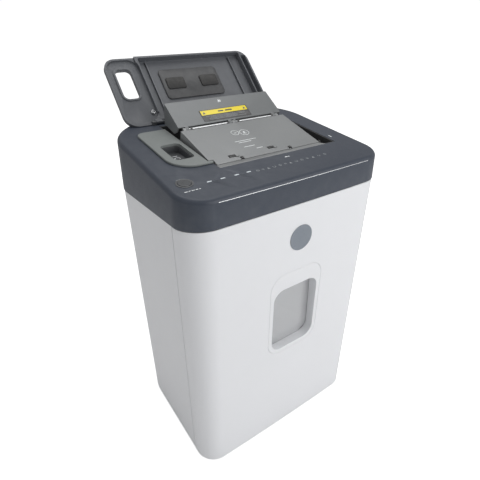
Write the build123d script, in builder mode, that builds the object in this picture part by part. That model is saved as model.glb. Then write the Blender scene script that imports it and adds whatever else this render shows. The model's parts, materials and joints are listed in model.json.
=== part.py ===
"""An office paper shredder with an automatic feed tray: a white cabinet with a pull-out bin,
a dark wedge-shaped head, a lid that opens past upright, a two-panel feed flap, and the cutting
block, gears and motor inside the head.

Millimetres. X is to the right, Y to the back and Z up. The origin is on the floor under the
middle of the cabinet. The lid stands open and the bin is home.
"""

import math
import os

from build123d import *

os.makedirs("parts", exist_ok=True)

# ---------------------------------------------------------------- driving dimensions
# Body
body_width = 400.0
body_depth = 324.0
front_corner_radius = 48.0
rear_corner_radius = 96.0
front_bow = 2.5  # how far the front bulges between its corners
foot_taper = 9.0  # how far each side draws in at the floor
wall = 3.0
seam_front_height = 525.0  # the line where the head meets the cabinet
seam_rear_height = 507.0
deck_front_height = 570.0  # the sloping top of the head
deck_rear_height = 610.0
cabinet_reveal = 0.8  # the cabinet stands this far inside the head
head_draft = 1.6
deck_edge_radius = 8.0
ledge_width = 18.0
ledge_thickness = 4.0

# Base and bin
foot_height = 6.0
foot_radius = 13.0
base_thickness = 4.0
rail_height = 2.0
slide_gap = 0.4
bin_seam_setback = 50.0  # how far round the side the bin's front reaches
seam_gap = 1.2
tub_height = 440.0
tub_width = 356.0
tub_depth = 283.0
tub_wall = 2.4
tub_front_radius = 40.0
tub_rear_radius = 84.0

# Front window
window_offset = 5.0  # the window and the badge sit this far right of the middle
window_width = 117.0
window_bottom = 218.0
window_top = 398.0
window_radius = 30.0
opening_width = 100.0
opening_bottom = 227.0
opening_top = 365.0
opening_radius = 22.0
window_return = 16.0  # depth of the walls round the opening
pane_thickness = 2.0
trim_gap = 0.3
badge_height = 461.0
badge_radius = 23.5
badge_thickness = 0.8

# Feed chamber in the deck
chamber_left = -107.0
chamber_notch = -99.0
chamber_right = 150.0
chamber_front = -84.0
chamber_notch_back = -62.0
chamber_back = 116.0
chamber_floor_height = 556.0
chamber_wall = 2.5
sill_depth = 11.0
sill_thickness = 5.0

# Cutting block
cutter_axis_height = 504.0
cutter_radius = 20.0
cutter_core_radius = 9.0
journal_radius = 6.0
disc_thickness = 3.6
disc_pitch = 8.0
disc_pairs = 27
notch_count = 8
shaft_gap = 34.0
frame_inside = 121.0
frame_thickness = 3.0
run_clearance = 0.05
pan_bottom = 467.0
pan_half_width = 150.0
pan_front = -112.0
pan_back = 122.0
chute_half_depth = 36.0

# Gears
cutter_gear_module = 1.7
cutter_gear_teeth = 20
feed_module = 1.5
feed_driver_teeth = 42
feed_gear_teeth = 12
drive_module = 1.5
drive_teeth = 36
idler_teeth = 24
pinion_teeth = 12
gear_width = 8.0
gear_space = 2.0

# Feed roller and motor
feed_shaft_radius = 4.0
feed_roller_radius = 18.0
feed_roller_length = 26.0
feed_roller_offset = 34.0
motor_radius = 24.0
motor_length = 96.0

# Lid (built open)
lid_open_angle = 46.2  # above level, leaning over the back
lid_half_width = 162.0
lid_length = 145.5
lid_axis_rise = 4.0  # hinge axis above the deck
lid_thickness = 11.0
lid_skin = 2.4
lid_rim_inset = 0.6
lid_top_radius = 24.0
lid_bottom_radius = 26.0
lid_ridge_left = -93.0
lid_ridge_right = 143.0
lid_hinge_offset = 100.0
lid_pin_radius = 1.5
lid_knuckle_radius = 3.4

# Feed flap
flap_left = -103.5
flap_right = 121.0
flap_pivot_y = -68.0
flap_pivot_height = 579.0
flap_angle = 16.6
flap_length = 110.6
flap_thickness = 3.0
flap_skirt = 15.0
upper_angle = 34.2
upper_length = 64.0
flap_pin_radius = 1.8
pivot_rod_radius = 2.0

# Deck furniture
button_x = -170.0
button_y = -104.0
button_radius = 10.0
button_bezel_radius = 13.0
button_travel = 1.2
light_row_y = -114.5
light_positions = (-136.0, -113.0, -89.0, -67.0)
light_length = 8.0
light_width = 2.2
grip_left = -163.0
grip_front = -66.0
grip_back = 90.0
grip_rise = 4.0
recess_left = -150.0
recess_right = -115.0
recess_front = -39.0
recess_back = 23.0
recess_depth = 13.0


# ---------------------------------------------------------------- shared geometry
def sloped_plane(front_height, rear_height):
    """The plane that runs from one height at the front to another at the back."""
    rise = rear_height - front_height
    return Plane(
        origin=(0, -body_depth / 2, front_height),
        x_dir=(1, 0, 0),
        z_dir=(0, -rise, body_depth),
    )


deck_plane = sloped_plane(deck_front_height, deck_rear_height)
seam_plane = sloped_plane(seam_front_height, seam_rear_height)
deck_slope = math.atan2(deck_rear_height - deck_front_height, body_depth)
bin_seam_plane = Plane(
    origin=(0, -body_depth / 2 + bin_seam_setback, seam_front_height),
    x_dir=(1, 0, 0),
    z_dir=(0, seam_front_height, foot_taper),
)


def deck_height(y):
    """Height of the deck above the floor at a place from front to back."""
    return deck_front_height + (y + body_depth / 2) * math.tan(deck_slope)


def on_deck(y):
    """Distance up the deck plane from its front edge to a place given by its level y."""
    return (y + body_depth / 2) / math.cos(deck_slope)


def cabinet_inset(height):
    """How far the cabinet stands inside the body's full width at a height."""
    return cabinet_reveal + foot_taper * (1 - height / seam_front_height)


def draw_outline(sketch, inset):
    """Draws the body's plan outline, moved in by an inset, in the open sketch."""
    half = body_width / 2 - inset
    front = -body_depth / 2 + inset
    back = body_depth / 2 - inset
    with BuildLine(mode=Mode.PRIVATE) as edge:
        ThreePointArc((-half, front), (0, front - front_bow), (half, front))
        Polyline((half, front), (half, back), (-half, back), (-half, front))
    make_face(edge.edges())
    fillet(sketch.vertices().group_by(Axis.Y)[0], front_corner_radius - inset)
    fillet(sketch.vertices().group_by(Axis.Y)[-1], rear_corner_radius - inset)


def body_block(low, low_inset, high, high_inset):
    """A solid with the body's outline at two heights and straight sides between them."""
    with BuildPart(mode=Mode.PRIVATE) as block:
        with BuildSketch(Plane.XY.offset(low)) as lower:
            draw_outline(lower, low_inset)
        with BuildSketch(Plane.XY.offset(high)) as upper:
            draw_outline(upper, high_inset)
        loft(ruled=True)
    return block.part


def cabinet_block(low, high, inset=0.0):
    """The cabinet's tapering block between two heights, moved in by an inset."""
    return body_block(low, cabinet_inset(low) + inset, high, cabinet_inset(high) + inset)


def head_block(inset=0.0):
    """The head's block, taller than the head, moved in by an inset."""
    low, high = seam_rear_height - 10, deck_rear_height + 20
    return body_block(low, inset, high, head_draft + inset)


def write(part, name):
    """Labels a finished piece and writes it to its STEP file."""
    part.label = name
    export_step(part, f"parts/{name}.step")


above_seam = seam_front_height + 6

# ---------------------------------------------------------------- cabinet
with BuildPart() as ledge:
    add(cabinet_block(seam_rear_height - 40, above_seam, wall + 5))
    add(cabinet_block(seam_rear_height - 20, above_seam, wall - 1))
    split(bisect_by=bin_seam_plane.offset(seam_gap / 2), keep=Keep.TOP)
    add(cabinet_block(seam_rear_height - 40, above_seam, wall + 5))
    add(
        cabinet_block(seam_rear_height - 41, above_seam + 1, ledge_width),
        mode=Mode.SUBTRACT,
    )
    split(bisect_by=seam_plane, keep=Keep.BOTTOM)
    split(bisect_by=seam_plane.offset(-ledge_thickness), keep=Keep.TOP)

with BuildPart() as cabinet_shell:
    add(cabinet_block(foot_height, above_seam))
    add(cabinet_block(foot_height - 1, above_seam + 1, wall), mode=Mode.SUBTRACT)
    split(bisect_by=bin_seam_plane.offset(seam_gap / 2), keep=Keep.TOP)
    split(bisect_by=seam_plane, keep=Keep.BOTTOM)
    add(ledge.part)
write(cabinet_shell.part, "cabinet_shell")

base_top = foot_height + base_thickness
with BuildPart() as base_rear:
    add(cabinet_block(foot_height, base_top, wall + 0.05))
    split(bisect_by=bin_seam_plane.offset(seam_gap / 2), keep=Keep.TOP)

with BuildPart() as base_plate:
    add(cabinet_block(foot_height, base_top, wall + 1.5))
    add(base_rear.part)
write(base_plate.part, "base_plate")

rail_length = 240.0
with BuildPart() as bin_rails:
    with BuildSketch(Plane.XY.offset(base_top)):
        with GridLocations(200, 0, 2, 1):
            Rectangle(14, rail_length)
    extrude(amount=rail_height)
    chamfer(bin_rails.edges().group_by(Axis.Z)[-1], 0.6)
write(bin_rails.part, "bin_rails")

with BuildPart() as rubber_feet:
    with BuildSketch():
        with GridLocations(280, 210, 2, 2):
            Circle(foot_radius)
    extrude(amount=foot_height)
    chamfer(rubber_feet.edges().group_by(Axis.Z)[0], 1.2)
write(rubber_feet.part, "rubber_feet")

# ---------------------------------------------------------------- pull-out bin
window_height = window_top - window_bottom
opening_height = opening_top - opening_bottom
window_plane = Plane(
    origin=(window_offset, -body_depth / 2 - 20, 0), x_dir=(1, 0, 0), z_dir=(0, 1, 0)
)


def front_prism(width, bottom, top, radius, start, depth):
    """A rounded block behind the front face, from a distance behind the outer plane."""
    with BuildPart(mode=Mode.PRIVATE) as prism:
        with BuildSketch(window_plane.offset(20 + start)):
            with Locations((0, -(bottom + top) / 2)):
                RectangleRounded(width, top - bottom, radius)
        extrude(amount=depth)
    return prism.part


bin_bottom = foot_height - 1
with BuildPart() as bin_front_panel:
    add(cabinet_block(bin_bottom, above_seam))
    add(cabinet_block(bin_bottom - 1, above_seam + 1, wall), mode=Mode.SUBTRACT)
    split(bisect_by=bin_seam_plane.offset(-seam_gap / 2), keep=Keep.BOTTOM)
    split(bisect_by=seam_plane.offset(-seam_gap), keep=Keep.BOTTOM)
    add(
        front_prism(window_width, window_bottom, window_top, window_radius, -20, 60),
        mode=Mode.SUBTRACT,
    )
write(bin_front_panel.part, "bin_front_panel")

tub_bottom = base_top + rail_height + slide_gap
tub_front = -body_depth / 2 + foot_taper + wall + cabinet_reveal + 6
opening_depth = window_return + foot_taper + wall
with BuildPart() as tub_ribs:
    with BuildSketch(Plane.XY.offset(tub_bottom + 20)):
        with Locations((-110, tub_front - 8), (110, tub_front - 8)):
            Rectangle(6, 24)
    extrude(amount=tub_height - 60)
    add(
        cabinet_block(tub_bottom, tub_bottom + tub_height, wall + 0.05),
        mode=Mode.INTERSECT,
    )

with BuildPart() as bin_tub:
    with BuildSketch(Plane.XY.offset(tub_bottom)) as tub_plan:
        with Locations((0, tub_front + tub_depth / 2)):
            Rectangle(tub_width, tub_depth)
        fillet(tub_plan.vertices().group_by(Axis.Y)[0], tub_front_radius)
        fillet(tub_plan.vertices().group_by(Axis.Y)[-1], tub_rear_radius)
    extrude(amount=tub_height)
    add(tub_ribs.part)
    with BuildSketch(Plane.XY.offset(tub_bottom + tub_wall)) as tub_inside:
        with Locations((0, tub_front + tub_depth / 2)):
            Rectangle(tub_width - 2 * tub_wall, tub_depth - 2 * tub_wall)
        fillet(tub_inside.vertices().group_by(Axis.Y)[0], tub_front_radius - tub_wall)
        fillet(tub_inside.vertices().group_by(Axis.Y)[-1], tub_rear_radius - tub_wall)
    extrude(amount=tub_height, mode=Mode.SUBTRACT)
    add(
        front_prism(
            opening_width + 12, opening_bottom - 8, opening_top + 8, opening_radius + 4,
            0, opening_depth + 30,
        ),
        mode=Mode.SUBTRACT,
    )
write(bin_tub.part, "bin_tub")

with BuildPart() as return_wall:
    add(
        front_prism(
            opening_width + 5, opening_bottom - 2.5, opening_top + 2.5,
            opening_radius + 2.5, -10, 10 + window_return + foot_taper / 2,
        )
    )
    add(cabinet_block(bin_bottom, above_seam, wall / 2), mode=Mode.INTERSECT)

with BuildPart() as window_bezel:
    add(
        front_prism(
            window_width - 2 * trim_gap, window_bottom + trim_gap, window_top - trim_gap,
            window_radius - trim_gap, -10, 30,
        )
    )
    add(cabinet_block(bin_bottom, above_seam, 0), mode=Mode.INTERSECT)
    add(cabinet_block(bin_bottom, above_seam, wall), mode=Mode.SUBTRACT)
    add(return_wall.part)
    add(
        front_prism(
            opening_width, opening_bottom, opening_top, opening_radius, -20, 60
        ),
        mode=Mode.SUBTRACT,
    )
write(window_bezel.part, "window_bezel")

with BuildPart() as window_pane:
    add(
        front_prism(
            opening_width + 5, opening_bottom - 2.5, opening_top + 2.5,
            opening_radius + 2.5, window_return + foot_taper / 2, pane_thickness,
        )
    )
write(window_pane.part, "window_pane")

with BuildPart() as badge_disc:
    with BuildSketch(window_plane):
        with Locations((0, -badge_height)):
            Circle(badge_radius)
    extrude(amount=40)
    add(
        cabinet_block(bin_bottom, above_seam, -badge_thickness), mode=Mode.INTERSECT
    )
    add(cabinet_block(bin_bottom - 1, above_seam + 1), mode=Mode.SUBTRACT)
write(badge_disc.part, "badge_disc")

# ---------------------------------------------------------------- head
with BuildPart() as head_void:
    add(head_block(wall))
    split(bisect_by=deck_plane.offset(-wall), keep=Keep.BOTTOM)
    fillet(head_void.faces().sort_by(Axis.Z)[-1].edges(), max(deck_edge_radius - wall, 0.5))

screw_positions = ((-172, -58), (172, -58), (-165, 72), (165, 72))
screw_radius = 2.0
boss_radius = 5.0
flange_thickness = 3.0

seam_slope = math.atan2(seam_front_height - seam_rear_height, body_depth)
screw_places = [(x, (y + body_depth / 2) / math.cos(seam_slope)) for x, y in screw_positions]

with BuildPart() as screw_bosses:
    with BuildSketch(seam_plane.offset(flange_thickness)):
        with Locations(*screw_places):
            Circle(boss_radius)
    extrude(amount=deck_rear_height - seam_rear_height)
    split(bisect_by=deck_plane.offset(-wall / 2), keep=Keep.BOTTOM)


def chamber_sketch(grow=0.0):
    """Draws the feed chamber's plan, grown by an amount, in the open sketch."""
    left, right = chamber_left - grow, chamber_right + grow
    front, back = chamber_front - grow, chamber_back + grow
    with BuildLine(mode=Mode.PRIVATE) as edge:
        Polyline(
            (chamber_notch - grow, front), (right, front), (right, back), (left, back),
            (left, chamber_notch_back - grow), (chamber_notch - grow, chamber_notch_back - grow),
            (chamber_notch - grow, front),
        )
    make_face(edge.edges())


button_place = (button_x, on_deck(button_y))
light_places = [(x, on_deck(light_row_y)) for x in light_positions]
grip_radius_front = 40.0
grip_radius_back = 14.0
recess_radius = 9.0


def recess_sketch(grow=0.0):
    """Draws the finger recess on the deck plane, grown by an amount."""
    middle = (
        (recess_left + recess_right) / 2,
        (on_deck(recess_front) + on_deck(recess_back)) / 2,
    )
    with Locations(middle):
        RectangleRounded(
            recess_right - recess_left + 2 * grow,
            on_deck(recess_back) - on_deck(recess_front) + 2 * grow,
            recess_radius + grow,
        )


inlet_x, inlet_height = 62.0, 556.0
inlet_width, inlet_tall = 48.0, 28.0
rocker_x, rocker_width, rocker_tall = 8.0, 21.0, 28.0
vent_x, vent_count, vent_pitch = -52.0, 7, 11.0
rear_plane = Plane(
    origin=(0, body_depth / 2 + 10, inlet_height), x_dir=(1, 0, 0), z_dir=(0, -1, 0)
)
with BuildPart() as head_cover:
    add(head_block())
    split(bisect_by=seam_plane, keep=Keep.TOP)
    split(bisect_by=deck_plane, keep=Keep.BOTTOM)
    fillet(head_cover.faces().sort_by(Axis.Z)[-1].edges(), deck_edge_radius)
    add(head_void.part, mode=Mode.SUBTRACT)
    add(screw_bosses.part)
    with BuildSketch(seam_plane):
        with Locations(*screw_places):
            Circle(screw_radius)
    extrude(amount=20, mode=Mode.SUBTRACT)
    with BuildSketch(Plane.XY.offset(chamber_floor_height - 10)):
        chamber_sketch()
    extrude(amount=100, mode=Mode.SUBTRACT)
    with BuildSketch(deck_plane.offset(5)):
        recess_sketch(0.2)
        with Locations(button_place):
            Circle(button_bezel_radius - 2)
        with Locations(*light_places):
            SlotCenterToCenter(light_length - light_width, light_width + 0.2)
    extrude(amount=-20, mode=Mode.SUBTRACT)
    with BuildSketch(rear_plane):
        with Locations((inlet_x, 0)):
            Rectangle(inlet_width, inlet_tall)
        with Locations((rocker_x, 0)):
            Rectangle(rocker_width, rocker_tall)
        with Locations((vent_x, 0)):
            with GridLocations(vent_pitch, 0, vent_count, 1):
                SlotCenterToCenter(30, 4.5, rotation=90)
    extrude(amount=30, mode=Mode.SUBTRACT)
write(head_cover.part, "head_cover")

# Pan under the head: a flange on the cabinet's ledge and a well round the cutting block
with BuildPart() as pan_flange:
    add(head_block(wall + 0.4))
    split(bisect_by=seam_plane, keep=Keep.TOP)
    split(bisect_by=seam_plane.offset(flange_thickness), keep=Keep.BOTTOM)

pan_wall = 2.5
pan_middle = (0, (pan_front + pan_back) / 2)
with BuildPart() as head_pan:
    add(pan_flange.part)
    with BuildSketch(Plane.XY.offset(pan_bottom)):
        with Locations(pan_middle):
            Rectangle(2 * pan_half_width, pan_back - pan_front)
    extrude(amount=above_seam - pan_bottom + 10)
    split(bisect_by=seam_plane.offset(flange_thickness), keep=Keep.BOTTOM)
    with BuildSketch(Plane.XY.offset(pan_bottom + pan_wall)):
        with Locations(pan_middle):
            Rectangle(
                2 * (pan_half_width - pan_wall), pan_back - pan_front - 2 * pan_wall
            )
    extrude(amount=100, mode=Mode.SUBTRACT)
    with BuildSketch(Plane.XY.offset(pan_bottom - 1)):
        Rectangle(2 * frame_inside - 4, 2 * chute_half_depth)
    extrude(amount=10, mode=Mode.SUBTRACT)
    with BuildSketch(seam_plane.offset(-10)):
        with Locations(*screw_places):
            Circle(screw_radius + 0.3)
    extrude(amount=20, mode=Mode.SUBTRACT)
write(head_pan.part, "head_pan")

screw_head = 3.6
with BuildPart() as case_screws:
    with BuildSketch(seam_plane):
        with Locations(*screw_places):
            Circle(screw_head)
    extrude(amount=-2.4)
    with BuildSketch(seam_plane):
        with Locations(*screw_places):
            Circle(screw_radius)
    extrude(amount=18)
write(case_screws.part, "case_screws")

# Feed chamber: a dark tray hanging in the deck's opening, with lugs for the flap's rod
roller_gap = 1.5
slot_half = 6.0
lug_width = 4.0


rod_start = chamber_notch + 0.2
rod_end = flap_right + 4.2


def along_x(x, y, height):
    """A plane whose normal points along X, at a point."""
    return Plane(origin=(x, y, height), x_dir=(0, 1, 0), z_dir=(1, 0, 0))


def bar(x, y, height, radius, length):
    """A round bar along X."""
    with BuildPart(mode=Mode.PRIVATE) as rod:
        with BuildSketch(along_x(x, y, height)):
            Circle(radius)
        extrude(amount=length)
    return rod.part


with BuildPart() as feed_chamber:
    with BuildSketch(Plane.XY.offset(chamber_floor_height - chamber_wall)):
        chamber_sketch(-0.2)
    extrude(amount=100)
    split(bisect_by=deck_plane.offset(-0.6), keep=Keep.BOTTOM)
    with BuildSketch(Plane.XY.offset(chamber_floor_height)):
        chamber_sketch(-0.2 - chamber_wall)
    extrude(amount=100, mode=Mode.SUBTRACT)
    for x in (chamber_notch + 0.3, flap_right + 2.0):
        with BuildSketch(along_x(x, flap_pivot_y, chamber_floor_height - 1)):
            with Locations((0, (flap_pivot_height - chamber_floor_height + 1) / 2)):
                Rectangle(9, flap_pivot_height - chamber_floor_height + 1)
        extrude(amount=lug_width - 1.6)
        add(bar(x, flap_pivot_y, flap_pivot_height, 3.6, lug_width - 1.6))
    with BuildSketch(Plane.XY.offset(chamber_floor_height - 20)):
        Rectangle(204, 2 * slot_half)
        with Locations((-feed_roller_offset, 0), (feed_roller_offset, 0)):
            Rectangle(
                feed_roller_length + 2 * roller_gap,
                2 * (feed_roller_radius + roller_gap),
            )
    extrude(amount=40, mode=Mode.SUBTRACT)
    add(
        bar(rod_start, flap_pivot_y, flap_pivot_height, pivot_rod_radius, rod_end - rod_start),
        mode=Mode.SUBTRACT,
    )
write(feed_chamber.part, "feed_chamber")

write(
    bar(rod_start, flap_pivot_y, flap_pivot_height, pivot_rod_radius, rod_end - rod_start),
    "flap_pivot_rod",
)

with BuildPart() as front_sill:
    with BuildSketch(deck_plane):
        with BuildLine():
            Polyline(
                (chamber_notch + 0.4, on_deck(chamber_front) + 0.4),
                (chamber_right - 24, on_deck(chamber_front) + 0.4),
                (chamber_right - 34, on_deck(chamber_front) + sill_depth),
                (chamber_notch + 0.4, on_deck(chamber_front) + sill_depth),
                (chamber_notch + 0.4, on_deck(chamber_front) + 0.4),
            )
        make_face()
    extrude(amount=-sill_thickness)
    chamfer(front_sill.faces().sort_by(Axis.Z)[-1].edges().sort_by(Axis.Y)[-1], 1.2)
    add(feed_chamber.part, mode=Mode.SUBTRACT)
write(front_sill.part, "front_sill")

# Grip plate, raised on the deck beside the chamber, with a finger recess
grip_thickness = grip_rise
with BuildPart() as grip_plate:
    with BuildSketch(deck_plane) as grip_plan:
        with BuildLine():
            Polyline(
                (grip_left, on_deck(grip_front)), (chamber_notch - 0.6, on_deck(grip_front)),
                (chamber_notch - 0.6, on_deck(chamber_notch_back) - 0.6),
                (chamber_left - 0.6, on_deck(chamber_notch_back) - 0.6),
                (chamber_left - 0.6, on_deck(grip_back)), (grip_left, on_deck(grip_back)),
                (grip_left, on_deck(grip_front)),
            )
        make_face()
        left_corners = grip_plan.vertices().group_by(Axis.X)[0]
        fillet(left_corners.sort_by(Axis.Y)[0], grip_radius_front)
        fillet(grip_plan.vertices().group_by(Axis.Y)[-1].sort_by(Axis.X)[0], grip_radius_back)
    extrude(amount=grip_thickness)
    fillet(grip_plate.faces().sort_by(Axis.Z)[-1].edges(), 1.4)
    with BuildSketch(deck_plane.offset(-1)):
        recess_sketch()
    extrude(amount=20, mode=Mode.SUBTRACT)
write(grip_plate.part, "grip_plate")

recess_wall = 1.8
with BuildPart() as finger_recess:
    with BuildSketch(deck_plane):
        recess_sketch(-0.1)
    extrude(amount=-recess_depth)
    with BuildSketch(deck_plane.offset(-recess_depth + recess_wall)):
        recess_sketch(-0.1 - recess_wall)
    extrude(amount=recess_depth, mode=Mode.SUBTRACT)
write(finger_recess.part, "finger_recess")

# Power button, its bezel, the status lights and the board under them
bezel_bore = button_radius + 0.4
with BuildPart() as button_bezel:
    with BuildSketch(deck_plane):
        with Locations(button_place):
            Circle(button_bezel_radius)
    extrude(amount=1.0)
    with BuildSketch(deck_plane):
        with Locations(button_place):
            Circle(button_bezel_radius - 2.2)
    extrude(amount=-6)
    with BuildSketch(deck_plane.offset(2)):
        with Locations(button_place):
            Circle(bezel_bore)
    extrude(amount=-20, mode=Mode.SUBTRACT)
    chamfer(button_bezel.faces().sort_by(Axis.Z)[-1].edges(), 0.4)
write(button_bezel.part, "button_bezel")

board_drop = 16.0
board_thickness = 1.6
with BuildPart() as power_button:
    with BuildSketch(deck_plane.offset(1.6)):
        with Locations(button_place):
            Circle(button_radius)
    extrude(amount=-6)
    fillet(power_button.faces().sort_by(Axis.Z)[-1].edges(), 0.8)
    with BuildSketch(deck_plane.offset(-4)):
        with Locations(button_place):
            Circle(2.5)
    extrude(amount=-(board_drop - board_thickness - 4 - 5 - button_travel))
write(power_button.part, "power_button")

with BuildPart() as status_lights:
    with BuildSketch(deck_plane.offset(0.2)):
        with Locations(*light_places):
            SlotCenterToCenter(light_length - light_width, light_width)
    extrude(amount=-(board_drop - board_thickness - 1 + 0.2))
write(status_lights.part, "status_lights")

with BuildPart() as control_board:
    with BuildSketch(deck_plane.offset(-board_drop)):
        with Locations((-118, on_deck(-109))):
            Rectangle(122, 32)
    extrude(amount=board_thickness)
    with BuildSketch(deck_plane.offset(-board_drop + board_thickness)):
        with Locations(*light_places):
            Rectangle(5, 3)
    extrude(amount=1)
    with BuildSketch(deck_plane.offset(-board_drop + board_thickness)):
        with Locations(button_place):
            Rectangle(7, 7)
    extrude(amount=5)
    with BuildSketch(deck_plane.offset(-board_drop)):
        with Locations((-100, on_deck(-103)), (-140, on_deck(-104))):
            Rectangle(14, 10)
    extrude(amount=-3)
write(control_board.part, "control_board")

# Mains inlet and rocker switch in the head's rear wall


def rear_block(x, width, tall, start, depth, height=inlet_height):
    """A block behind the rear wall's outer face, from a start inwards."""
    with BuildPart(mode=Mode.PRIVATE) as block:
        with BuildSketch(rear_plane.offset(10 + start)):
            with Locations((x, inlet_height - height)):
                Rectangle(width, tall)
        extrude(amount=depth)
    return block.part


with BuildPart() as power_inlet:
    add(rear_block(inlet_x, inlet_width - 0.4, inlet_tall - 0.4, -1.5, 26))
    add(rear_block(inlet_x, inlet_width + 6, inlet_tall + 6, -2.5, 2.0))
    add(rear_block(inlet_x, 28, 20, -4, 20), mode=Mode.SUBTRACT)
    add(head_cover.part, mode=Mode.SUBTRACT)
write(power_inlet.part, "power_inlet")

with BuildPart() as inlet_pins:
    for x in (-8, 0, 8):
        add(rear_block(inlet_x + x, 2, 4, 2, 14))
write(inlet_pins.part, "inlet_pins")

rocker_tilt = 12.0
with BuildPart() as rocker_frame:
    add(rear_block(rocker_x, rocker_width - 0.4, rocker_tall - 0.4, -1.5, 20))
    add(rear_block(rocker_x, rocker_width + 4, rocker_tall + 4, -2.5, 1.5))
    add(rear_block(rocker_x, rocker_width - 5, rocker_tall - 5, -4, 20), mode=Mode.SUBTRACT)
    add(head_cover.part, mode=Mode.SUBTRACT)
write(rocker_frame.part, "rocker_frame")

rocker_y = body_depth / 2 - 1.0
rocker_pivot = Axis((0, rocker_y, inlet_height), (1, 0, 0))
rocker_key = rocker_width - 6
rocker_radius = 10.4
rocker_face = 6.0
with BuildPart() as rocker_switch:
    with BuildSketch(along_x(rocker_x - rocker_key / 2, rocker_y, inlet_height)):
        Circle(rocker_radius)
        with Locations((rocker_face / 2, 0)):
            Rectangle(rocker_face, 3 * rocker_radius, mode=Mode.INTERSECT)
    extrude(amount=rocker_key)
write(rocker_switch.part.rotate(rocker_pivot, -rocker_tilt / 2), "rocker_switch")

# ---------------------------------------------------------------- cutting block
half_gap = shaft_gap / 2
cutter_height = cutter_axis_height
feed_centre = feed_module * (feed_driver_teeth + feed_gear_teeth) / 2
feed_height = cutter_height + math.sqrt(feed_centre**2 - half_gap**2)
frame_bottom = pan_bottom + pan_wall + 1.0
frame_top = chamber_floor_height - chamber_wall - 0.5
frame_front = -52.0
drive_centre = drive_module * (drive_teeth + idler_teeth) / 2
motor_centre = drive_module * (idler_teeth + pinion_teeth) / 2
idler_rise = 6.0
idler_y = half_gap + math.sqrt(drive_centre**2 - idler_rise**2)
idler_height = cutter_height + idler_rise
pinion_y = idler_y + motor_centre
pinion_height = idler_height
bush_radius = 9.0
feed_bush_radius = 6.5
idler_pin_radius = 4.0
comb_y = 43.0
comb_thickness = 3.0
rod_radius = 4.0
rod_places = ((-47.0, 484.0), (47.0, 484.0), (-47.0, 526.0), (47.0, 526.0))
motor_nose_radius = 10.0


def frame_plate(x, back):
    """One steel side plate of the cutting block, from a face outwards along +X."""
    with BuildPart(mode=Mode.PRIVATE) as plate:
        with BuildSketch(along_x(x, 0, 0)):
            with BuildLine():
                Polyline(
                    (frame_front, frame_bottom), (back, frame_bottom),
                    (back, pinion_height + 24), (14, frame_top), (-14, frame_top),
                    (frame_front, pinion_height + 24), (frame_front, frame_bottom),
                )
            make_face()
            with Locations((-half_gap, cutter_height), (half_gap, cutter_height)):
                Circle(bush_radius, mode=Mode.SUBTRACT)
            with Locations((0, feed_height)):
                Circle(feed_bush_radius, mode=Mode.SUBTRACT)
            with Locations(*rod_places):
                Circle(rod_radius, mode=Mode.SUBTRACT)
            if back > 60:
                with Locations((idler_y, idler_height)):
                    Circle(idler_pin_radius, mode=Mode.SUBTRACT)
                with Locations((pinion_y, pinion_height)):
                    Circle(motor_nose_radius, mode=Mode.SUBTRACT)
        extrude(amount=frame_thickness)
    return plate.part


frame_outside = frame_inside + frame_thickness
write(frame_plate(-frame_outside, 116), "left_frame_plate")
write(frame_plate(frame_inside, -frame_front), "right_frame_plate")

with BuildPart() as frame_rods:
    for y, height in rod_places:
        add(bar(-frame_outside, y, height, rod_radius, 2 * frame_outside))
write(frame_rods.part, "frame_rods")

comb_finger = 3.0
with BuildPart() as stripper_combs:
    for side in (-1, 1):
        with BuildSketch(Plane.XY.offset(cutter_height)):
            with Locations((0, side * comb_y)):
                Rectangle(2 * frame_inside - 0.4, comb_thickness)
        extrude(amount=14, both=True)
        # the fingers lie between this side's discs
        shift = side * disc_pitch / 4
        with BuildSketch(Plane.XY.offset(cutter_height)):
            with Locations((shift + disc_pitch / 2, side * (comb_y + 28) / 2)):
                with GridLocations(disc_pitch, 0, disc_pairs, 1):
                    Rectangle(comb_finger, comb_y - 28)
        extrude(amount=5, both=True)
write(stripper_combs.part, "stripper_combs")


def bush(x, y, height, outer, bore, direction):
    """A flanged bush in a side plate, its flange on the plate's outer face."""
    with BuildPart(mode=Mode.PRIVATE) as ring:
        with BuildSketch(along_x(x, y, height)):
            Circle(outer)
            Circle(bore, mode=Mode.SUBTRACT)
        extrude(amount=-direction * frame_thickness)
        with BuildSketch(along_x(x, y, height)):
            Circle(outer + 1.5)
            Circle(bore, mode=Mode.SUBTRACT)
        extrude(amount=direction * 1.5)
    return ring.part


with BuildPart() as shaft_bushes:
    for side in (-1, 1):
        for y in (-half_gap, half_gap):
            add(
                bush(
                    side * frame_outside, y, cutter_height,
                    bush_radius, journal_radius + run_clearance, side,
                )
            )
        add(
            bush(
                side * frame_outside, 0, feed_height,
                feed_bush_radius, feed_shaft_radius + run_clearance, side,
            )
        )
write(shaft_bushes.part, "shaft_bushes")


def cutter_profile(shift):
    """The half profile of a cutter shaft with its discs, x along the shaft."""
    first = -(disc_pairs - 1) * disc_pitch / 2 + shift
    points = [(-frame_inside + 1, 0), (-frame_inside + 1, cutter_core_radius)]
    for index in range(disc_pairs):
        middle = first + index * disc_pitch
        low, high = middle - disc_thickness / 2, middle + disc_thickness / 2
        points += [
            (low, cutter_core_radius), (low, cutter_radius),
            (high, cutter_radius), (high, cutter_core_radius),
        ]
    points += [(frame_inside - 1, cutter_core_radius), (frame_inside - 1, 0)]
    points.append(points[0])
    return points


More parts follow.
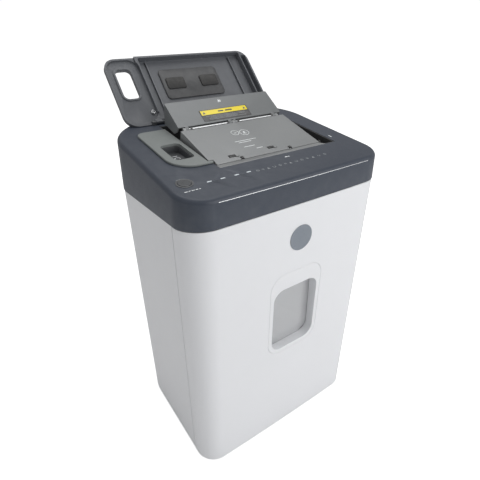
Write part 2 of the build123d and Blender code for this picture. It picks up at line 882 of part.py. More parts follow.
def cutter_shaft(y, shift, left_end, right_end):
    """A cutter shaft: discs with notched rims, and a journal at each end."""
    with BuildPart(mode=Mode.PRIVATE) as shaft:
        with BuildSketch(Plane.XZ):
            with BuildLine():
                Polyline(*cutter_profile(shift))
            make_face()
        revolve(axis=Axis.X)
        with BuildSketch(Plane.YZ.offset(-frame_inside)):
            with PolarLocations(cutter_radius, notch_count):
                Rectangle(5.0, 3.0, rotation=30)
        extrude(amount=2 * frame_inside, mode=Mode.SUBTRACT)
        add(bar(left_end, 0, 0, journal_radius, right_end - left_end))
    return shaft.part.moved(Location((0, y, cutter_height)))


layer_one = frame_outside + 1.5 + 1.0
layer_two = layer_one + gear_width + gear_space
front_right_end = layer_two + gear_width + 1
rear_right_end = layer_one + gear_width + 0.6
rear_left_end = -(layer_one + gear_width + 1)
write(
    cutter_shaft(-half_gap, -disc_pitch / 4, -frame_outside - 2, front_right_end),
    "front_cutter_shaft",
)
write(
    cutter_shaft(half_gap, disc_pitch / 4, rear_left_end, rear_right_end),
    "rear_cutter_shaft",
)

# ---------------------------------------------------------------- gears, feed rollers, motor
def next_turn(angle, turn, teeth, next_teeth):
    """The turn that puts a gear in mesh with one whose teeth and turn are given.

    All angles are in degrees in the plane across X, and angle points from the first
    gear's centre to the second's.
    """
    phase = (angle - turn) / (360 / teeth)
    return angle + 180 + (phase + 0.5) * 360 / next_teeth


def gear(module, teeth, bore, x, y, height, turn):
    """A spur gear on an axis along X, with one tooth centred on the turn angle."""
    pitch = math.pi * module
    root = module * teeth / 2 - 1.15 * module
    tip = module * teeth / 2 + 0.85 * module
    with BuildPart(mode=Mode.PRIVATE) as wheel:
        with BuildSketch(along_x(x, y, height)):
            Circle(root)
            with PolarLocations(0, teeth, start_angle=turn):
                Polygon(
                    (root - 0.5, -0.29 * pitch), (root, -0.29 * pitch), (tip, -0.09 * pitch),
                    (tip, 0.09 * pitch), (root, 0.29 * pitch), (root - 0.5, 0.29 * pitch),
                    align=None,
                )
            Circle(bore, mode=Mode.SUBTRACT)
        extrude(amount=gear_width)
    return wheel.part


rear_turn = 0.0
front_turn = next_turn(180, rear_turn, cutter_gear_teeth, cutter_gear_teeth)
write(
    gear(
        cutter_gear_module, cutter_gear_teeth, journal_radius,
        layer_one, half_gap, cutter_height, rear_turn,
    ),
    "rear_cutter_gear",
)
write(
    gear(
        cutter_gear_module, cutter_gear_teeth, journal_radius,
        layer_one, -half_gap, cutter_height, front_turn,
    ),
    "front_cutter_gear",
)

feed_angle = math.degrees(math.atan2(feed_height - cutter_height, half_gap))
write(
    gear(
        feed_module, feed_driver_teeth, journal_radius,
        layer_two, -half_gap, cutter_height, feed_angle,
    ),
    "feed_driver_gear",
)
feed_turn = next_turn(feed_angle, feed_angle, feed_driver_teeth, feed_gear_teeth)
write(
    gear(
        feed_module, feed_gear_teeth, feed_shaft_radius, layer_two, 0, feed_height, feed_turn
    ),
    "feed_gear",
)
write(
    bar(
        -frame_outside - 2, 0, feed_height, feed_shaft_radius,
        frame_outside + 2 + layer_two + gear_width + 1,
    ),
    "feed_shaft",
)

with BuildPart() as feed_rollers:
    for x in (-feed_roller_offset, feed_roller_offset):
        with BuildSketch(along_x(x - feed_roller_length / 2, 0, feed_height)):
            Circle(feed_roller_radius)
            with PolarLocations(feed_roller_radius, 24):
                Circle(0.8, mode=Mode.SUBTRACT)
            Circle(feed_shaft_radius, mode=Mode.SUBTRACT)
        extrude(amount=feed_roller_length)
write(feed_rollers.part, "feed_rollers")

drive_x = -(layer_one + gear_width)
idler_angle = math.degrees(math.atan2(idler_rise, idler_y - half_gap))
write(
    gear(
        drive_module, drive_teeth, journal_radius, drive_x, half_gap, cutter_height, idler_angle
    ),
    "drive_gear",
)
idler_turn = next_turn(idler_angle, idler_angle, drive_teeth, idler_teeth)
write(
    gear(
        drive_module, idler_teeth, idler_pin_radius + run_clearance,
        drive_x, idler_y, idler_height, idler_turn,
    ),
    "idler_gear",
)
pinion_turn = next_turn(0, idler_turn, idler_teeth, pinion_teeth)
motor_shaft_radius = 3.0
write(
    gear(
        drive_module, pinion_teeth, motor_shaft_radius,
        drive_x, pinion_y, pinion_height, pinion_turn,
    ),
    "pinion_gear",
)
write(
    bar(drive_x - 1, idler_y, idler_height, idler_pin_radius, -frame_inside - drive_x + 1),
    "idler_pin",
)
rotor_length = 40.0
write(
    bar(
        drive_x - 1, pinion_y, pinion_height, motor_shaft_radius,
        -frame_inside - drive_x + 1 + rotor_length,
    ),
    "motor_shaft",
)

motor_cap = 8.0
with BuildPart() as motor:
    add(bar(-frame_inside, pinion_y, pinion_height, motor_radius, motor_length))
    fillet(motor.faces().sort_by(Axis.X)[-1].edges(), 3)
    add(
        bar(
            -frame_inside + motor_length, pinion_y, pinion_height,
            motor_nose_radius, motor_cap,
        )
    )
    add(
        bar(-frame_outside, pinion_y, pinion_height, motor_nose_radius, frame_thickness)
    )
    add(
        bar(
            -frame_outside - 1, pinion_y, pinion_height,
            motor_shaft_radius + run_clearance, rotor_length + frame_thickness + 2,
        ),
        mode=Mode.SUBTRACT,
    )
write(motor.part, "motor")

switch_x, switch_height = 70.0, 486.0
with BuildPart() as bin_switch:
    with Locations((switch_x, pan_front - 8, switch_height)):
        Box(20, 16, 12)
    with Locations((switch_x, pan_front - 23, switch_height - 2)):
        Box(4, 14, 3)
write(bin_switch.part, "bin_switch")

# ---------------------------------------------------------------- lid, standing open
lid_axis_y = 126.5
lid_axis_height = deck_height(lid_axis_y) + lid_axis_rise / math.cos(deck_slope)
lid_lean = math.radians(lid_open_angle)
lid_plane = Plane(
    origin=(0, lid_axis_y, lid_axis_height),
    x_dir=(1, 0, 0),
    z_dir=(0, -math.sin(lid_lean), math.cos(lid_lean)),
)
lid_heel = -3.0
lid_rim = 4.0
lid_window_left, lid_window_right = -145.0, -114.0
lid_window_low, lid_window_high = 57.0, 122.5
lid_window_radius = 10.0
lid_knuckle_width = 14.0
bracket_width = 7.6
bracket_gap = 0.4
hinge_pocket = 5.8


lid_inward = Axis(lid_plane.origin, lid_plane.z_dir)
lid_axis_point = (lid_axis_y, lid_axis_height)
lid_skirt = 4.0
lid_rest_gap = 0.45
ridge_width = 2.6
wing_depth = 3.6
collar_width = 3.5
rib_width = 1.8
hinge_span = lid_knuckle_width + 2 * (bracket_width + bracket_gap)
lid_window_size = (lid_window_right - lid_window_left, lid_window_high - lid_window_low)
lid_window_middle = (
    (lid_window_left + lid_window_right) / 2,
    (lid_window_low + lid_window_high) / 2,
)


def in_lid(along, inward):
    """A point of the lid's profile as Y and Z offsets from the hinge axis."""
    return (
        along * math.cos(lid_lean) - inward * math.sin(lid_lean),
        along * math.sin(lid_lean) + inward * math.cos(lid_lean),
    )


knuckle_web = [
    in_lid(0, -2.4), in_lid(hinge_pocket + 1, -4.4), in_lid(hinge_pocket + 1, -lid_rim_inset),
    in_lid(0, 2.4), in_lid(0, -2.4),
]


def lid_pocket(left, right, low, high, radius, floor):
    """A rounded pocket cut into the lid's inner side, down to a floor level."""
    with BuildPart(mode=Mode.PRIVATE) as pocket:
        with BuildSketch(lid_plane.offset(floor)):
            with Locations(((left + right) / 2, (low + high) / 2)):
                RectangleRounded(right - left, high - low, radius)
        extrude(amount=lid_thickness + 10)
    return pocket.part


with BuildPart() as lid_shell:
    with BuildSketch(lid_plane.offset(-lid_thickness)) as lid_plan:
        with Locations((0, (lid_heel + lid_length) / 2)):
            Rectangle(2 * lid_half_width, lid_length - lid_heel)
        fillet(lid_plan.vertices().group_by(Axis.Y)[0], lid_bottom_radius)
        fillet(lid_plan.vertices().group_by(Axis.Y)[-1], lid_top_radius)
    extrude(amount=lid_thickness - lid_rim_inset)
    fillet(lid_shell.faces().sort_by(lid_inward)[0].edges(), 3.5)
    with BuildSketch(lid_plane.offset(-lid_rim_inset)) as skirt_plan:
        with Locations((0, (lid_heel + lid_length) / 2)):
            Rectangle(2 * lid_half_width, lid_length - lid_heel)
        fillet(skirt_plan.vertices().group_by(Axis.Y)[0], lid_bottom_radius)
        fillet(skirt_plan.vertices().group_by(Axis.Y)[-1], lid_top_radius)
        with Locations((chamber_notch - lid_half_width, lid_length / 2)):
            Rectangle(2 * lid_half_width, 2 * lid_length, mode=Mode.SUBTRACT)
        with Locations((0, 0)):
            Rectangle(3 * lid_half_width, 40, mode=Mode.SUBTRACT)
    extrude(amount=lid_skirt)
    # left wing, middle and right channel
    add(
        lid_pocket(
            -lid_half_width + lid_rim, lid_ridge_left - ridge_width, lid_rim,
            lid_length - lid_rim, lid_top_radius - lid_rim, -lid_rim_inset - wing_depth,
        ),
        mode=Mode.SUBTRACT,
    )
    add(
        lid_pocket(
            lid_ridge_left, lid_ridge_right, lid_rim + 6, lid_length - lid_rim, 4,
            -lid_thickness + lid_skin,
        ),
        mode=Mode.SUBTRACT,
    )
    add(
        lid_pocket(
            lid_ridge_right + ridge_width, lid_half_width - lid_rim, lid_bottom_radius,
            lid_length - lid_top_radius / 2, 4, -lid_thickness + lid_skin,
        ),
        mode=Mode.SUBTRACT,
    )
    # window in the left wing, with a raised collar
    with BuildSketch(lid_plane.offset(-lid_thickness + 1)):
        with Locations(lid_window_middle):
            RectangleRounded(
                lid_window_size[0] + 2 * collar_width, lid_window_size[1] + 2 * collar_width,
                lid_window_radius + collar_width,
            )
    extrude(amount=lid_thickness - 1 - lid_rim_inset - 1.2)
    with BuildSketch(lid_plane.offset(-lid_thickness - 5)):
        with Locations(lid_window_middle):
            RectangleRounded(*lid_window_size, lid_window_radius)
    extrude(amount=40, mode=Mode.SUBTRACT)
    # stiffening ribs in the middle
    with BuildSketch(lid_plane.offset(-lid_thickness + 1)):
        with Locations(
            ((lid_ridge_left - 60) / 2, lid_length / 2),
            ((lid_ridge_right + 92) / 2, lid_length / 2),
        ):
            Rectangle(rib_width, lid_length - 4 * lid_rim)
    extrude(amount=lid_thickness - 5)
    # heel sloped to rest just above the deck, pockets and knuckles for the hinges
    split(bisect_by=deck_plane.offset(lid_rest_gap), keep=Keep.TOP)
    for middle in (-lid_hinge_offset, lid_hinge_offset):
        with BuildSketch(lid_plane.offset(-lid_thickness - 5)):
            with Locations((middle, (hinge_pocket + lid_heel) / 2 - 2)):
                Rectangle(hinge_span + 2 * bracket_gap, hinge_pocket - lid_heel + 4)
        extrude(amount=40, mode=Mode.SUBTRACT)
        add(
            bar(
                middle - lid_knuckle_width / 2, lid_axis_y, lid_axis_height,
                lid_knuckle_radius, lid_knuckle_width,
            )
        )
        with BuildSketch(along_x(middle - lid_knuckle_width / 2, *lid_axis_point)):
            with BuildLine():
                Polyline(*knuckle_web)
            make_face()
        extrude(amount=lid_knuckle_width)
        add(
            bar(
                middle - lid_knuckle_width, lid_axis_y, lid_axis_height,
                lid_pin_radius + run_clearance, 2 * lid_knuckle_width,
            ),
            mode=Mode.SUBTRACT,
        )
write(lid_shell.part, "lid_shell")

with BuildPart() as hinge_brackets:
    for middle in (-lid_hinge_offset, lid_hinge_offset):
        for start in (-hinge_span / 2, hinge_span / 2 - bracket_width):
            with BuildSketch(along_x(middle + start, *lid_axis_point)):
                Circle(lid_knuckle_radius)
                with Locations((0, -lid_knuckle_radius)):
                    Rectangle(2 * lid_knuckle_radius, 2 * lid_knuckle_radius)
                Circle(lid_pin_radius, mode=Mode.SUBTRACT)
            extrude(amount=bracket_width)
    split(bisect_by=deck_plane, keep=Keep.TOP)
write(hinge_brackets.part, "hinge_brackets")

with BuildPart() as lid_hinge_pins:
    for middle in (-lid_hinge_offset, lid_hinge_offset):
        add(
            bar(
                middle - hinge_span / 2, lid_axis_y, lid_axis_height,
                lid_pin_radius, hinge_span,
            )
        )
write(lid_hinge_pins.part, "lid_hinge_pins")

plate_width, plate_low, plate_high = 132.0, 50.0, 118.0
plate_thickness = 3.0
plate_middle = (8.0, (plate_low + plate_high) / 2)
lid_floor = -lid_thickness + lid_skin
with BuildPart() as pressure_plate:
    with BuildSketch(lid_plane.offset(lid_floor)):
        with Locations(plate_middle):
            RectangleRounded(plate_width, plate_high - plate_low, 8)
    extrude(amount=plate_thickness)
    chamfer(pressure_plate.faces().sort_by(lid_inward)[-1].edges(), 0.8)
write(pressure_plate.part, "pressure_plate")

pad_width, pad_height, pad_thickness = 40.0, 26.0, 2.4
with BuildPart() as pressure_pads:
    with BuildSketch(lid_plane.offset(lid_floor + plate_thickness)):
        with Locations(plate_middle):
            with GridLocations(76, 0, 2, 1):
                RectangleRounded(pad_width, pad_height, 4)
    extrude(amount=pad_thickness)
    chamfer(pressure_pads.faces().group_by(lid_inward)[-1].edges(), 0.6)
write(pressure_pads.part, "pressure_pads")

# ---------------------------------------------------------------- feed flap
flap_tilt = math.radians(flap_angle)
flap_plane = Plane(
    origin=(0, flap_pivot_y, flap_pivot_height),
    x_dir=(1, 0, 0),
    z_dir=(0, -math.sin(flap_tilt), math.cos(flap_tilt)),
)
flap_hinge_lift = 1.5
upper_tilt = math.radians(upper_angle)
hinge_y = (
    flap_pivot_y + flap_length * math.cos(flap_tilt) - flap_hinge_lift * math.sin(flap_tilt)
)
hinge_height = (
    flap_pivot_height
    + flap_length * math.sin(flap_tilt)
    + flap_hinge_lift * math.cos(flap_tilt)
)
upper_plane = Plane(
    origin=(0, hinge_y, hinge_height),
    x_dir=(1, 0, 0),
    z_dir=(0, -math.sin(upper_tilt), math.cos(upper_tilt)),
)
skin = 2.4
skirt_width = 2.0
flap_gap = 5.0  # from the hinge line to each panel's edge
heel = -3.5
knuckle_radius = 3.2
front_knuckles = ((chamber_notch + 3.4, 15.0), (-8.0, 20.0), (flap_right - 16.0, 15.4))
lower_knuckles = ((-97.3, 6.0), (3.3, 5.4), (104.3, 6.0))
pins_left = lower_knuckles[0][0]
pins_right = sum(lower_knuckles[-1])
clear_length = body_width  # a cut this long always runs right through
upper_knuckles = ((-91.0, 5.7), (-3.0, 6.0), (9.0, 3.7), (98.0, 6.0))
notch_along = (chamber_notch_back - flap_pivot_y) / math.cos(flap_tilt) + 5.0


def in_flap(plane_tilt, along, up):
    """A point of a flap's profile as Y and Z offsets from its axis."""
    return (
        along * math.cos(plane_tilt) - up * math.sin(plane_tilt),
        along * math.sin(plane_tilt) + up * math.cos(plane_tilt),
    )


def profile_block(x, width, y, height, tilt, points):
    """A block along X whose profile is given along and above a tilted panel."""
    with BuildPart(mode=Mode.PRIVATE) as block:
        with BuildSketch(along_x(x, y, height)):
            with BuildLine():
                Polyline(*[in_flap(tilt, *point) for point in (*points, points[0])])
            make_face()
        extrude(amount=width)
    return block.part


flap_seat = (flap_pivot_y, flap_pivot_height, flap_tilt)
upper_seat = (hinge_y, hinge_height, upper_tilt)
panel_end = flap_length - flap_gap
lower_skirt = (
    (notch_along, flap_thickness), (notch_along, -6.0), (panel_end, -flap_skirt),
    (panel_end, flap_thickness),
)
with BuildPart() as lower_flap:
    with BuildSketch(flap_plane.offset(flap_thickness)):
        with BuildLine():
            Polyline(
                (chamber_notch + 3.2, heel), (flap_right, heel), (flap_right, panel_end),
                (flap_left, panel_end), (flap_left, notch_along),
                (chamber_notch + 3.2, notch_along), (chamber_notch + 3.2, heel),
            )
        make_face()
        for place, size in (
            ((-60.0, 10.0), (14, 7)), ((20.0, 11.5), (14, 7)),
            ((-47.0, 0.0), (6, 7.2)), ((54.0, 0.0), (6, 7.2)),
        ):
            with Locations(place):
                Rectangle(*size, mode=Mode.SUBTRACT)
    extrude(amount=-skin)
    for x in (flap_left, flap_right - skirt_width):
        add(profile_block(x, skirt_width, *flap_seat, lower_skirt))
    for x, width in front_knuckles:
        add(bar(x, flap_pivot_y, flap_pivot_height, flap_thickness, width))
        add(
            profile_block(
                x, width, *flap_seat, ((0, 0), (0, flap_thickness), (9, flap_thickness), (9, 0))
            )
        )
    for x, width in lower_knuckles:
        add(bar(x, hinge_y, hinge_height, knuckle_radius, width))
        add(
            profile_block(
                x, width, *flap_seat,
                (
                    (panel_end - 1, -0.6), (flap_length, -1.2),
                    (flap_length, flap_thickness), (panel_end - 1, flap_thickness),
                ),
            )
        )
    rod_bore = pivot_rod_radius + run_clearance
    add(
        bar(flap_left, flap_pivot_y, flap_pivot_height, rod_bore, clear_length),
        mode=Mode.SUBTRACT,
    )
    add(
        bar(flap_left - 1, hinge_y, hinge_height, flap_pin_radius, clear_length),
        mode=Mode.SUBTRACT,
    )
write(lower_flap.part, "lower_flap")

pin_meeting = 6.0
with BuildPart() as flap_hinge_pins:
    for start, end in ((pins_left, pin_meeting - 0.2), (pin_meeting + 0.2, pins_right)):
        add(bar(start, hinge_y, hinge_height, flap_pin_radius, end - start))
write(flap_hinge_pins.part, "flap_hinge_pins")

upper_top = 1.3
upper_skirt = (
    (flap_gap, upper_top), (upper_length, upper_top), (upper_length - 2, -6.0),
    (48.0, -32.0), (12.0, -20.0), (flap_gap, -9.0),
)
with BuildPart() as upper_flap:
    with BuildSketch(upper_plane.offset(upper_top)):
        with Locations(((flap_left + flap_right) / 2, (flap_gap + upper_length) / 2)):
            Rectangle(flap_right - flap_left, upper_length - flap_gap)
    extrude(amount=-skin)
    for x in (flap_left, flap_right - skirt_width):
        add(profile_block(x, skirt_width, *upper_seat, upper_skirt))
    for x, width in upper_knuckles:
        add(bar(x, hinge_y, hinge_height, knuckle_radius, width))
        add(
            profile_block(
                x, width, *upper_seat,
                ((0, -2.6), (flap_gap + 1, -1.1), (flap_gap + 1, upper_top), (0, 2.6)),
            )
        )
    pin_bore = flap_pin_radius + run_clearance
    add(
        bar(flap_left - 1, hinge_y, hinge_height, pin_bore, clear_length),
        mode=Mode.SUBTRACT,
    )
write(upper_flap.part, "upper_flap")

label_left, label_right, label_low, label_high = -49.0, 54.0, 9.0, 36.0
label_thickness = 0.4
with BuildPart() as flap_label:
    with BuildSketch(upper_plane.offset(upper_top)):
        with Locations(((label_left + label_right) / 2, (label_low + label_high) / 2)):
            RectangleRounded(label_right - label_left, label_high - label_low, 1.5)
    extrude(amount=label_thickness)
write(flap_label.part, "flap_label")
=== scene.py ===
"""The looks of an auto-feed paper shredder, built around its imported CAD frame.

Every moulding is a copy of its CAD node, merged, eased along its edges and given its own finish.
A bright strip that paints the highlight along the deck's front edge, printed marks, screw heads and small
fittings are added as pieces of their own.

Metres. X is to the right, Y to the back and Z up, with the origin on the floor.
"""

from __future__ import annotations

import json
import logging
import math
from dataclasses import dataclass, field
from enum import Enum
from typing import Callable, Iterable, Sequence

import bmesh
import bpy
from mathutils import Matrix, Vector

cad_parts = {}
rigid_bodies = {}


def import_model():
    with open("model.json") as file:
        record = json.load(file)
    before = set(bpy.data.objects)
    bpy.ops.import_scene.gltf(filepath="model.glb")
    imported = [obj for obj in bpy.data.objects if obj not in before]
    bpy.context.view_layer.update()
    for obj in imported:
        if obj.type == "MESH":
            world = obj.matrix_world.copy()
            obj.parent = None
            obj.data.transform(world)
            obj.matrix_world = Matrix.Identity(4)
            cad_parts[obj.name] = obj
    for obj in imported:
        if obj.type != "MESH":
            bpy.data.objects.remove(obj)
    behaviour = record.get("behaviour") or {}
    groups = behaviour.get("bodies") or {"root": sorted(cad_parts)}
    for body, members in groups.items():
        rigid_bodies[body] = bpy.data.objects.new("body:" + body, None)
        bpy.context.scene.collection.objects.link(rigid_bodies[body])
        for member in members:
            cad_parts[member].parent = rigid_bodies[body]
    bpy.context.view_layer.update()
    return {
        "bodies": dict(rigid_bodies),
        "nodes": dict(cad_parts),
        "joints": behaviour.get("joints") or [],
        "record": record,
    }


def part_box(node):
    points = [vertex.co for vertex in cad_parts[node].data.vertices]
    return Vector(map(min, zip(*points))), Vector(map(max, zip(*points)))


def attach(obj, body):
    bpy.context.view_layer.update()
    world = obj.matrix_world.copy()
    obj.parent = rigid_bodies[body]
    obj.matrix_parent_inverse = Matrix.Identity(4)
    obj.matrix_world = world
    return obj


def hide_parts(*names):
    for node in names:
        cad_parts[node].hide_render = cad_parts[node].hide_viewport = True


LOG = logging.getLogger("shredder")
MM = 0.001
Point = tuple[float, float]
Colour = tuple[float, float, float]
Mask = bpy.types.NodeSocket


# ------------------------------------------------------------------ node groups
class Group(Enum):
    """The surface effects that several finishes share."""

    GRAIN = "moulding_grain"
    DRIFT = "tone_drift"
    RUB = "edge_rub"
    BRUSH = "brushed_streaks"
    DUST = "settled_dust"


@dataclass
class GroupBuilder:
    """Builds each shared surface effect once, as a shader node group."""

    made: dict[Group, bpy.types.NodeTree] = field(default_factory=dict)

    def get(self, group: Group) -> bpy.types.NodeTree:
        """The node group for an effect, made on first use.

        Args:
            group: The effect wanted.

        Returns:
            The shader node group.
        """
        if group not in self.made:
            makers: dict[Group, Callable[[bpy.types.NodeTree], None]] = {
                Group.GRAIN: self._grain,
                Group.DRIFT: self._drift,
                Group.RUB: self._rub,
                Group.BRUSH: self._brush,
                Group.DUST: self._dust,
            }
            tree = bpy.data.node_groups.new(group.value, "ShaderNodeTree")
            makers[group](tree)
            self.made[group] = tree
        return self.made[group]

    @staticmethod
    def _socket(tree: bpy.types.NodeTree, name: str, kind: str, value: object = None) -> None:
        """Adds an input, or with no value an output, to a group.

        Args:
            tree: The group.
            name: The socket's name.
            kind: Float, Color or Vector.
            value: An input's default, or None for an output.
        """
        side = "OUTPUT" if value is None else "INPUT"
        made = tree.interface.new_socket(name, in_out=side, socket_type=f"NodeSocket{kind}")
        if value is not None:
            made.default_value = value

    @staticmethod
    def _noise(tree: bpy.types.NodeTree, place: Mask, detail: float) -> bpy.types.Node:
        """A noise texture read at a place.

        Args:
            tree: The node tree.
            place: The coordinate socket.
            detail: How many octaves.

        Returns:
            The noise node.
        """
        noise = tree.nodes.new("ShaderNodeTexNoise")
        noise.inputs["Detail"].default_value = detail
        tree.links.new(place, noise.inputs["Vector"])
        return noise

    def _ends(self, tree: bpy.types.NodeTree) -> tuple[bpy.types.Node, bpy.types.Node, Mask]:
        """The input and output nodes of a group and its Object coordinates.

        Args:
            tree: The group.

        Returns:
            The input node, the output node and the coordinate socket.
        """
        entry = tree.nodes.new("NodeGroupInput")
        leave = tree.nodes.new("NodeGroupOutput")
        place = tree.nodes.new("ShaderNodeTexCoord").outputs["Object"]
        return entry, leave, place

    def _grain(self, tree: bpy.types.NodeTree) -> None:
        """Spark-eroded texture: fine noise over softer orange peel."""
        self._socket(tree, "Scale", "Float", 1800.0)
        self._socket(tree, "Height", "Float")
        entry, leave, place = self._ends(tree)
        fine = self._noise(tree, place, 2.0)
        tree.links.new(entry.outputs["Scale"], fine.inputs["Scale"])
        broad = self._noise(tree, place, 1.0)
        share = math_node(tree, "MULTIPLY", entry.outputs["Scale"], 0.13)
        tree.links.new(share, broad.inputs["Scale"])
        half = math_node(tree, "MULTIPLY", broad.outputs["Fac"], 0.5)
        total = math_node(tree, "ADD", fine.outputs["Fac"], half)
        tree.links.new(total, leave.inputs["Height"])

    def _drift(self, tree: bpy.types.NodeTree) -> None:
        """A colour that wanders slightly lighter and darker over a moulding."""
        self._socket(tree, "Color", "Color", (0.5, 0.5, 0.5, 1.0))
        self._socket(tree, "Amount", "Float", 0.06)
        self._socket(tree, "Scale", "Float", 9.0)
        self._socket(tree, "Color", "Color")
        entry, leave, place = self._ends(tree)
        cloud = self._noise(tree, place, 4.0)
        tree.links.new(entry.outputs["Scale"], cloud.inputs["Scale"])
        centred = math_node(tree, "SUBTRACT", cloud.outputs["Fac"], 0.5)
        swing = math_node(tree, "MULTIPLY", centred, entry.outputs["Amount"])
        doubled = math_node(tree, "MULTIPLY_ADD", swing, 2.0, 1.0)
        shade = tree.nodes.new("ShaderNodeHueSaturation")
        tree.links.new(entry.outputs["Color"], shade.inputs["Color"])
        tree.links.new(doubled, shade.inputs["Value"])
        tree.links.new(shade.outputs["Color"], leave.inputs["Color"])

    def _rub(self, tree: bpy.types.NodeTree) -> None:
        """A mask of handled edges, broken up by noise."""
        self._socket(tree, "Reach", "Float", 0.08)
        self._socket(tree, "Mask", "Float")
        entry, leave, place = self._ends(tree)
        shape = tree.nodes.new("ShaderNodeNewGeometry")
        raised = math_node(tree, "SUBTRACT", shape.outputs["Pointiness"], 0.5)
        spread = math_node(tree, "DIVIDE", raised, entry.outputs["Reach"])
        patches = self._noise(tree, place, 3.0)
        patches.inputs["Scale"].default_value = 60.0
        broken = math_node(tree, "MULTIPLY", spread, patches.outputs["Fac"])
        limited = math_node(tree, "MINIMUM", broken, 1.0)
        tree.links.new(math_node(tree, "MAXIMUM", limited, 0.0), leave.inputs["Mask"])

    def _brush(self, tree: bpy.types.NodeTree) -> None:
        """Long fine streaks along X, as turning or brushing leaves."""
        self._socket(tree, "Scale", "Float", 900.0)
        self._socket(tree, "Streaks", "Float")
        entry, leave, place = self._ends(tree)
        squeeze = tree.nodes.new("ShaderNodeMapping")
        squeeze.inputs["Scale"].default_value = (0.04, 1.0, 1.0)
        tree.links.new(place, squeeze.inputs["Vector"])
        streak = self._noise(tree, squeeze.outputs["Vector"], 3.0)
        tree.links.new(entry.outputs["Scale"], streak.inputs["Scale"])
        tree.links.new(streak.outputs["Fac"], leave.inputs["Streaks"])

    def _dust(self, tree: bpy.types.NodeTree) -> None:
        """A faint mask of dust on faces that look up."""
        self._socket(tree, "Amount", "Float", 0.1)
        self._socket(tree, "Mask", "Float")
        entry, leave, place = self._ends(tree)
        shape = tree.nodes.new("ShaderNodeNewGeometry")
        parts = tree.nodes.new("ShaderNodeSeparateXYZ")
        tree.links.new(shape.outputs["Normal"], parts.inputs["Vector"])
        facing = math_node(tree, "MAXIMUM", parts.outputs["Z"], 0.0)
        specks = self._noise(tree, place, 6.0)
        specks.inputs["Scale"].default_value = 140.0
        speckled = math_node(tree, "MULTIPLY", facing, specks.outputs["Fac"])
        amount = math_node(tree, "MULTIPLY", speckled, entry.outputs["Amount"])
        tree.links.new(amount, leave.inputs["Mask"])


def math_node(
    tree: bpy.types.NodeTree, operation: str, *values: Mask | float
) -> bpy.types.NodeSocket:
    """A Math node fed with sockets or plain numbers.

    Args:
        tree: The node tree.
        operation: The Math node's operation.
        values: A socket or a number for each input.

    Returns:
        The node's output.
    """
    node = tree.nodes.new("ShaderNodeMath")
    node.operation = operation
    for index, value in enumerate(values):
        if isinstance(value, (int, float)):
            node.inputs[index].default_value = value
        else:
            tree.links.new(value, node.inputs[index])
    return node.outputs[0]


GROUPS = GroupBuilder()


# ------------------------------------------------------------------ finishes
def principled(name: str) -> tuple[bpy.types.Material, bpy.types.Node]:
    """A new material and its Principled shader.

    Args:
        name: The material's name.

    Returns:
        The material and the shader node.
    """
    material = bpy.data.materials.new(name)
    material.use_nodes = True
    return material, material.node_tree.nodes["Principled BSDF"]


def effect(tree: bpy.types.NodeTree, group: Group, **values: float) -> bpy.types.Node:
    """Places a shared effect in a material with its own values.

    Args:
        tree: The material's node tree.
        group: The effect.
        values: A number for each named input.

    Returns:
        The group node.
    """
    node = tree.nodes.new("ShaderNodeGroup")
    node.node_tree = GROUPS.get(group)
    for name, value in values.items():
        node.inputs[name].default_value = value
    return node


def mixed(tree: bpy.types.NodeTree, mask: Mask, low: Mask, high: Colour) -> Mask:
    """A colour blended towards another where a mask says.

    Args:
        tree: The node tree.
        mask: The blend.
        low: The colour socket where the mask is 0.
        high: The colour where it is 1.

    Returns:
        The blended colour.
    """
    blend = tree.nodes.new("ShaderNodeMix")
    blend.data_type = "RGBA"
    tree.links.new(mask, blend.inputs["Factor"])
    tree.links.new(low, blend.inputs["A"])
    blend.inputs["B"].default_value = (*high, 1.0)
    return blend.outputs["Result"]


def bumped(tree: bpy.types.NodeTree, shader: bpy.types.Node, height: Mask, depth: float) -> None:
    """Feeds a height to a shader's normal.

    Args:
        tree: The node tree.
        shader: The Principled shader.
        height: The height socket.
        depth: The relief in metres.
    """
    bump = tree.nodes.new("ShaderNodeBump")
    bump.inputs["Distance"].default_value = depth
    bump.inputs["Strength"].default_value = 1.0
    tree.links.new(height, bump.inputs["Height"])
    tree.links.new(bump.outputs["Normal"], shader.inputs["Normal"])


@dataclass(frozen=True)
class Moulded:
    """A plastic or painted moulding: spark texture, colour drift, rubbed edges and dust."""

    name: str
    colour: Colour
    roughness: float = 0.45
    grain: float = 0.00006
    grain_scale: float = 1500.0
    drift: float = 0.05
    rub: Colour = (0.6, 0.6, 0.6)
    rubbed: float = 0.25
    dust: float = 0.04
    metallic: float = 0.0
    coat: float = 0.0

    def build(self) -> bpy.types.Material:
        """The finished material."""
        material, shader = principled(self.name)
        tree = material.node_tree
        drift = effect(tree, Group.DRIFT, Amount=self.drift)
        drift.inputs["Color"].default_value = (*self.colour, 1.0)
        rub = effect(tree, Group.RUB, Reach=0.12)
        worn = math_node(tree, "MULTIPLY", rub.outputs["Mask"], self.rubbed)
        edged = mixed(tree, worn, drift.outputs["Color"], self.rub)
        dust = effect(tree, Group.DUST, Amount=self.dust)
        dusted = mixed(tree, dust.outputs["Mask"], edged, (0.62, 0.6, 0.56))
        tree.links.new(dusted, shader.inputs["Base Color"])
        grain = effect(tree, Group.GRAIN, Scale=self.grain_scale)
        gloss = math_node(tree, "MULTIPLY_ADD", grain.outputs["Height"], 0.12, self.roughness - 0.09)
        tree.links.new(gloss, shader.inputs["Roughness"])
        shader.inputs["Metallic"].default_value = self.metallic
        shader.inputs["Coat Weight"].default_value = self.coat
        bumped(tree, shader, grain.outputs["Height"], self.grain)
        return material


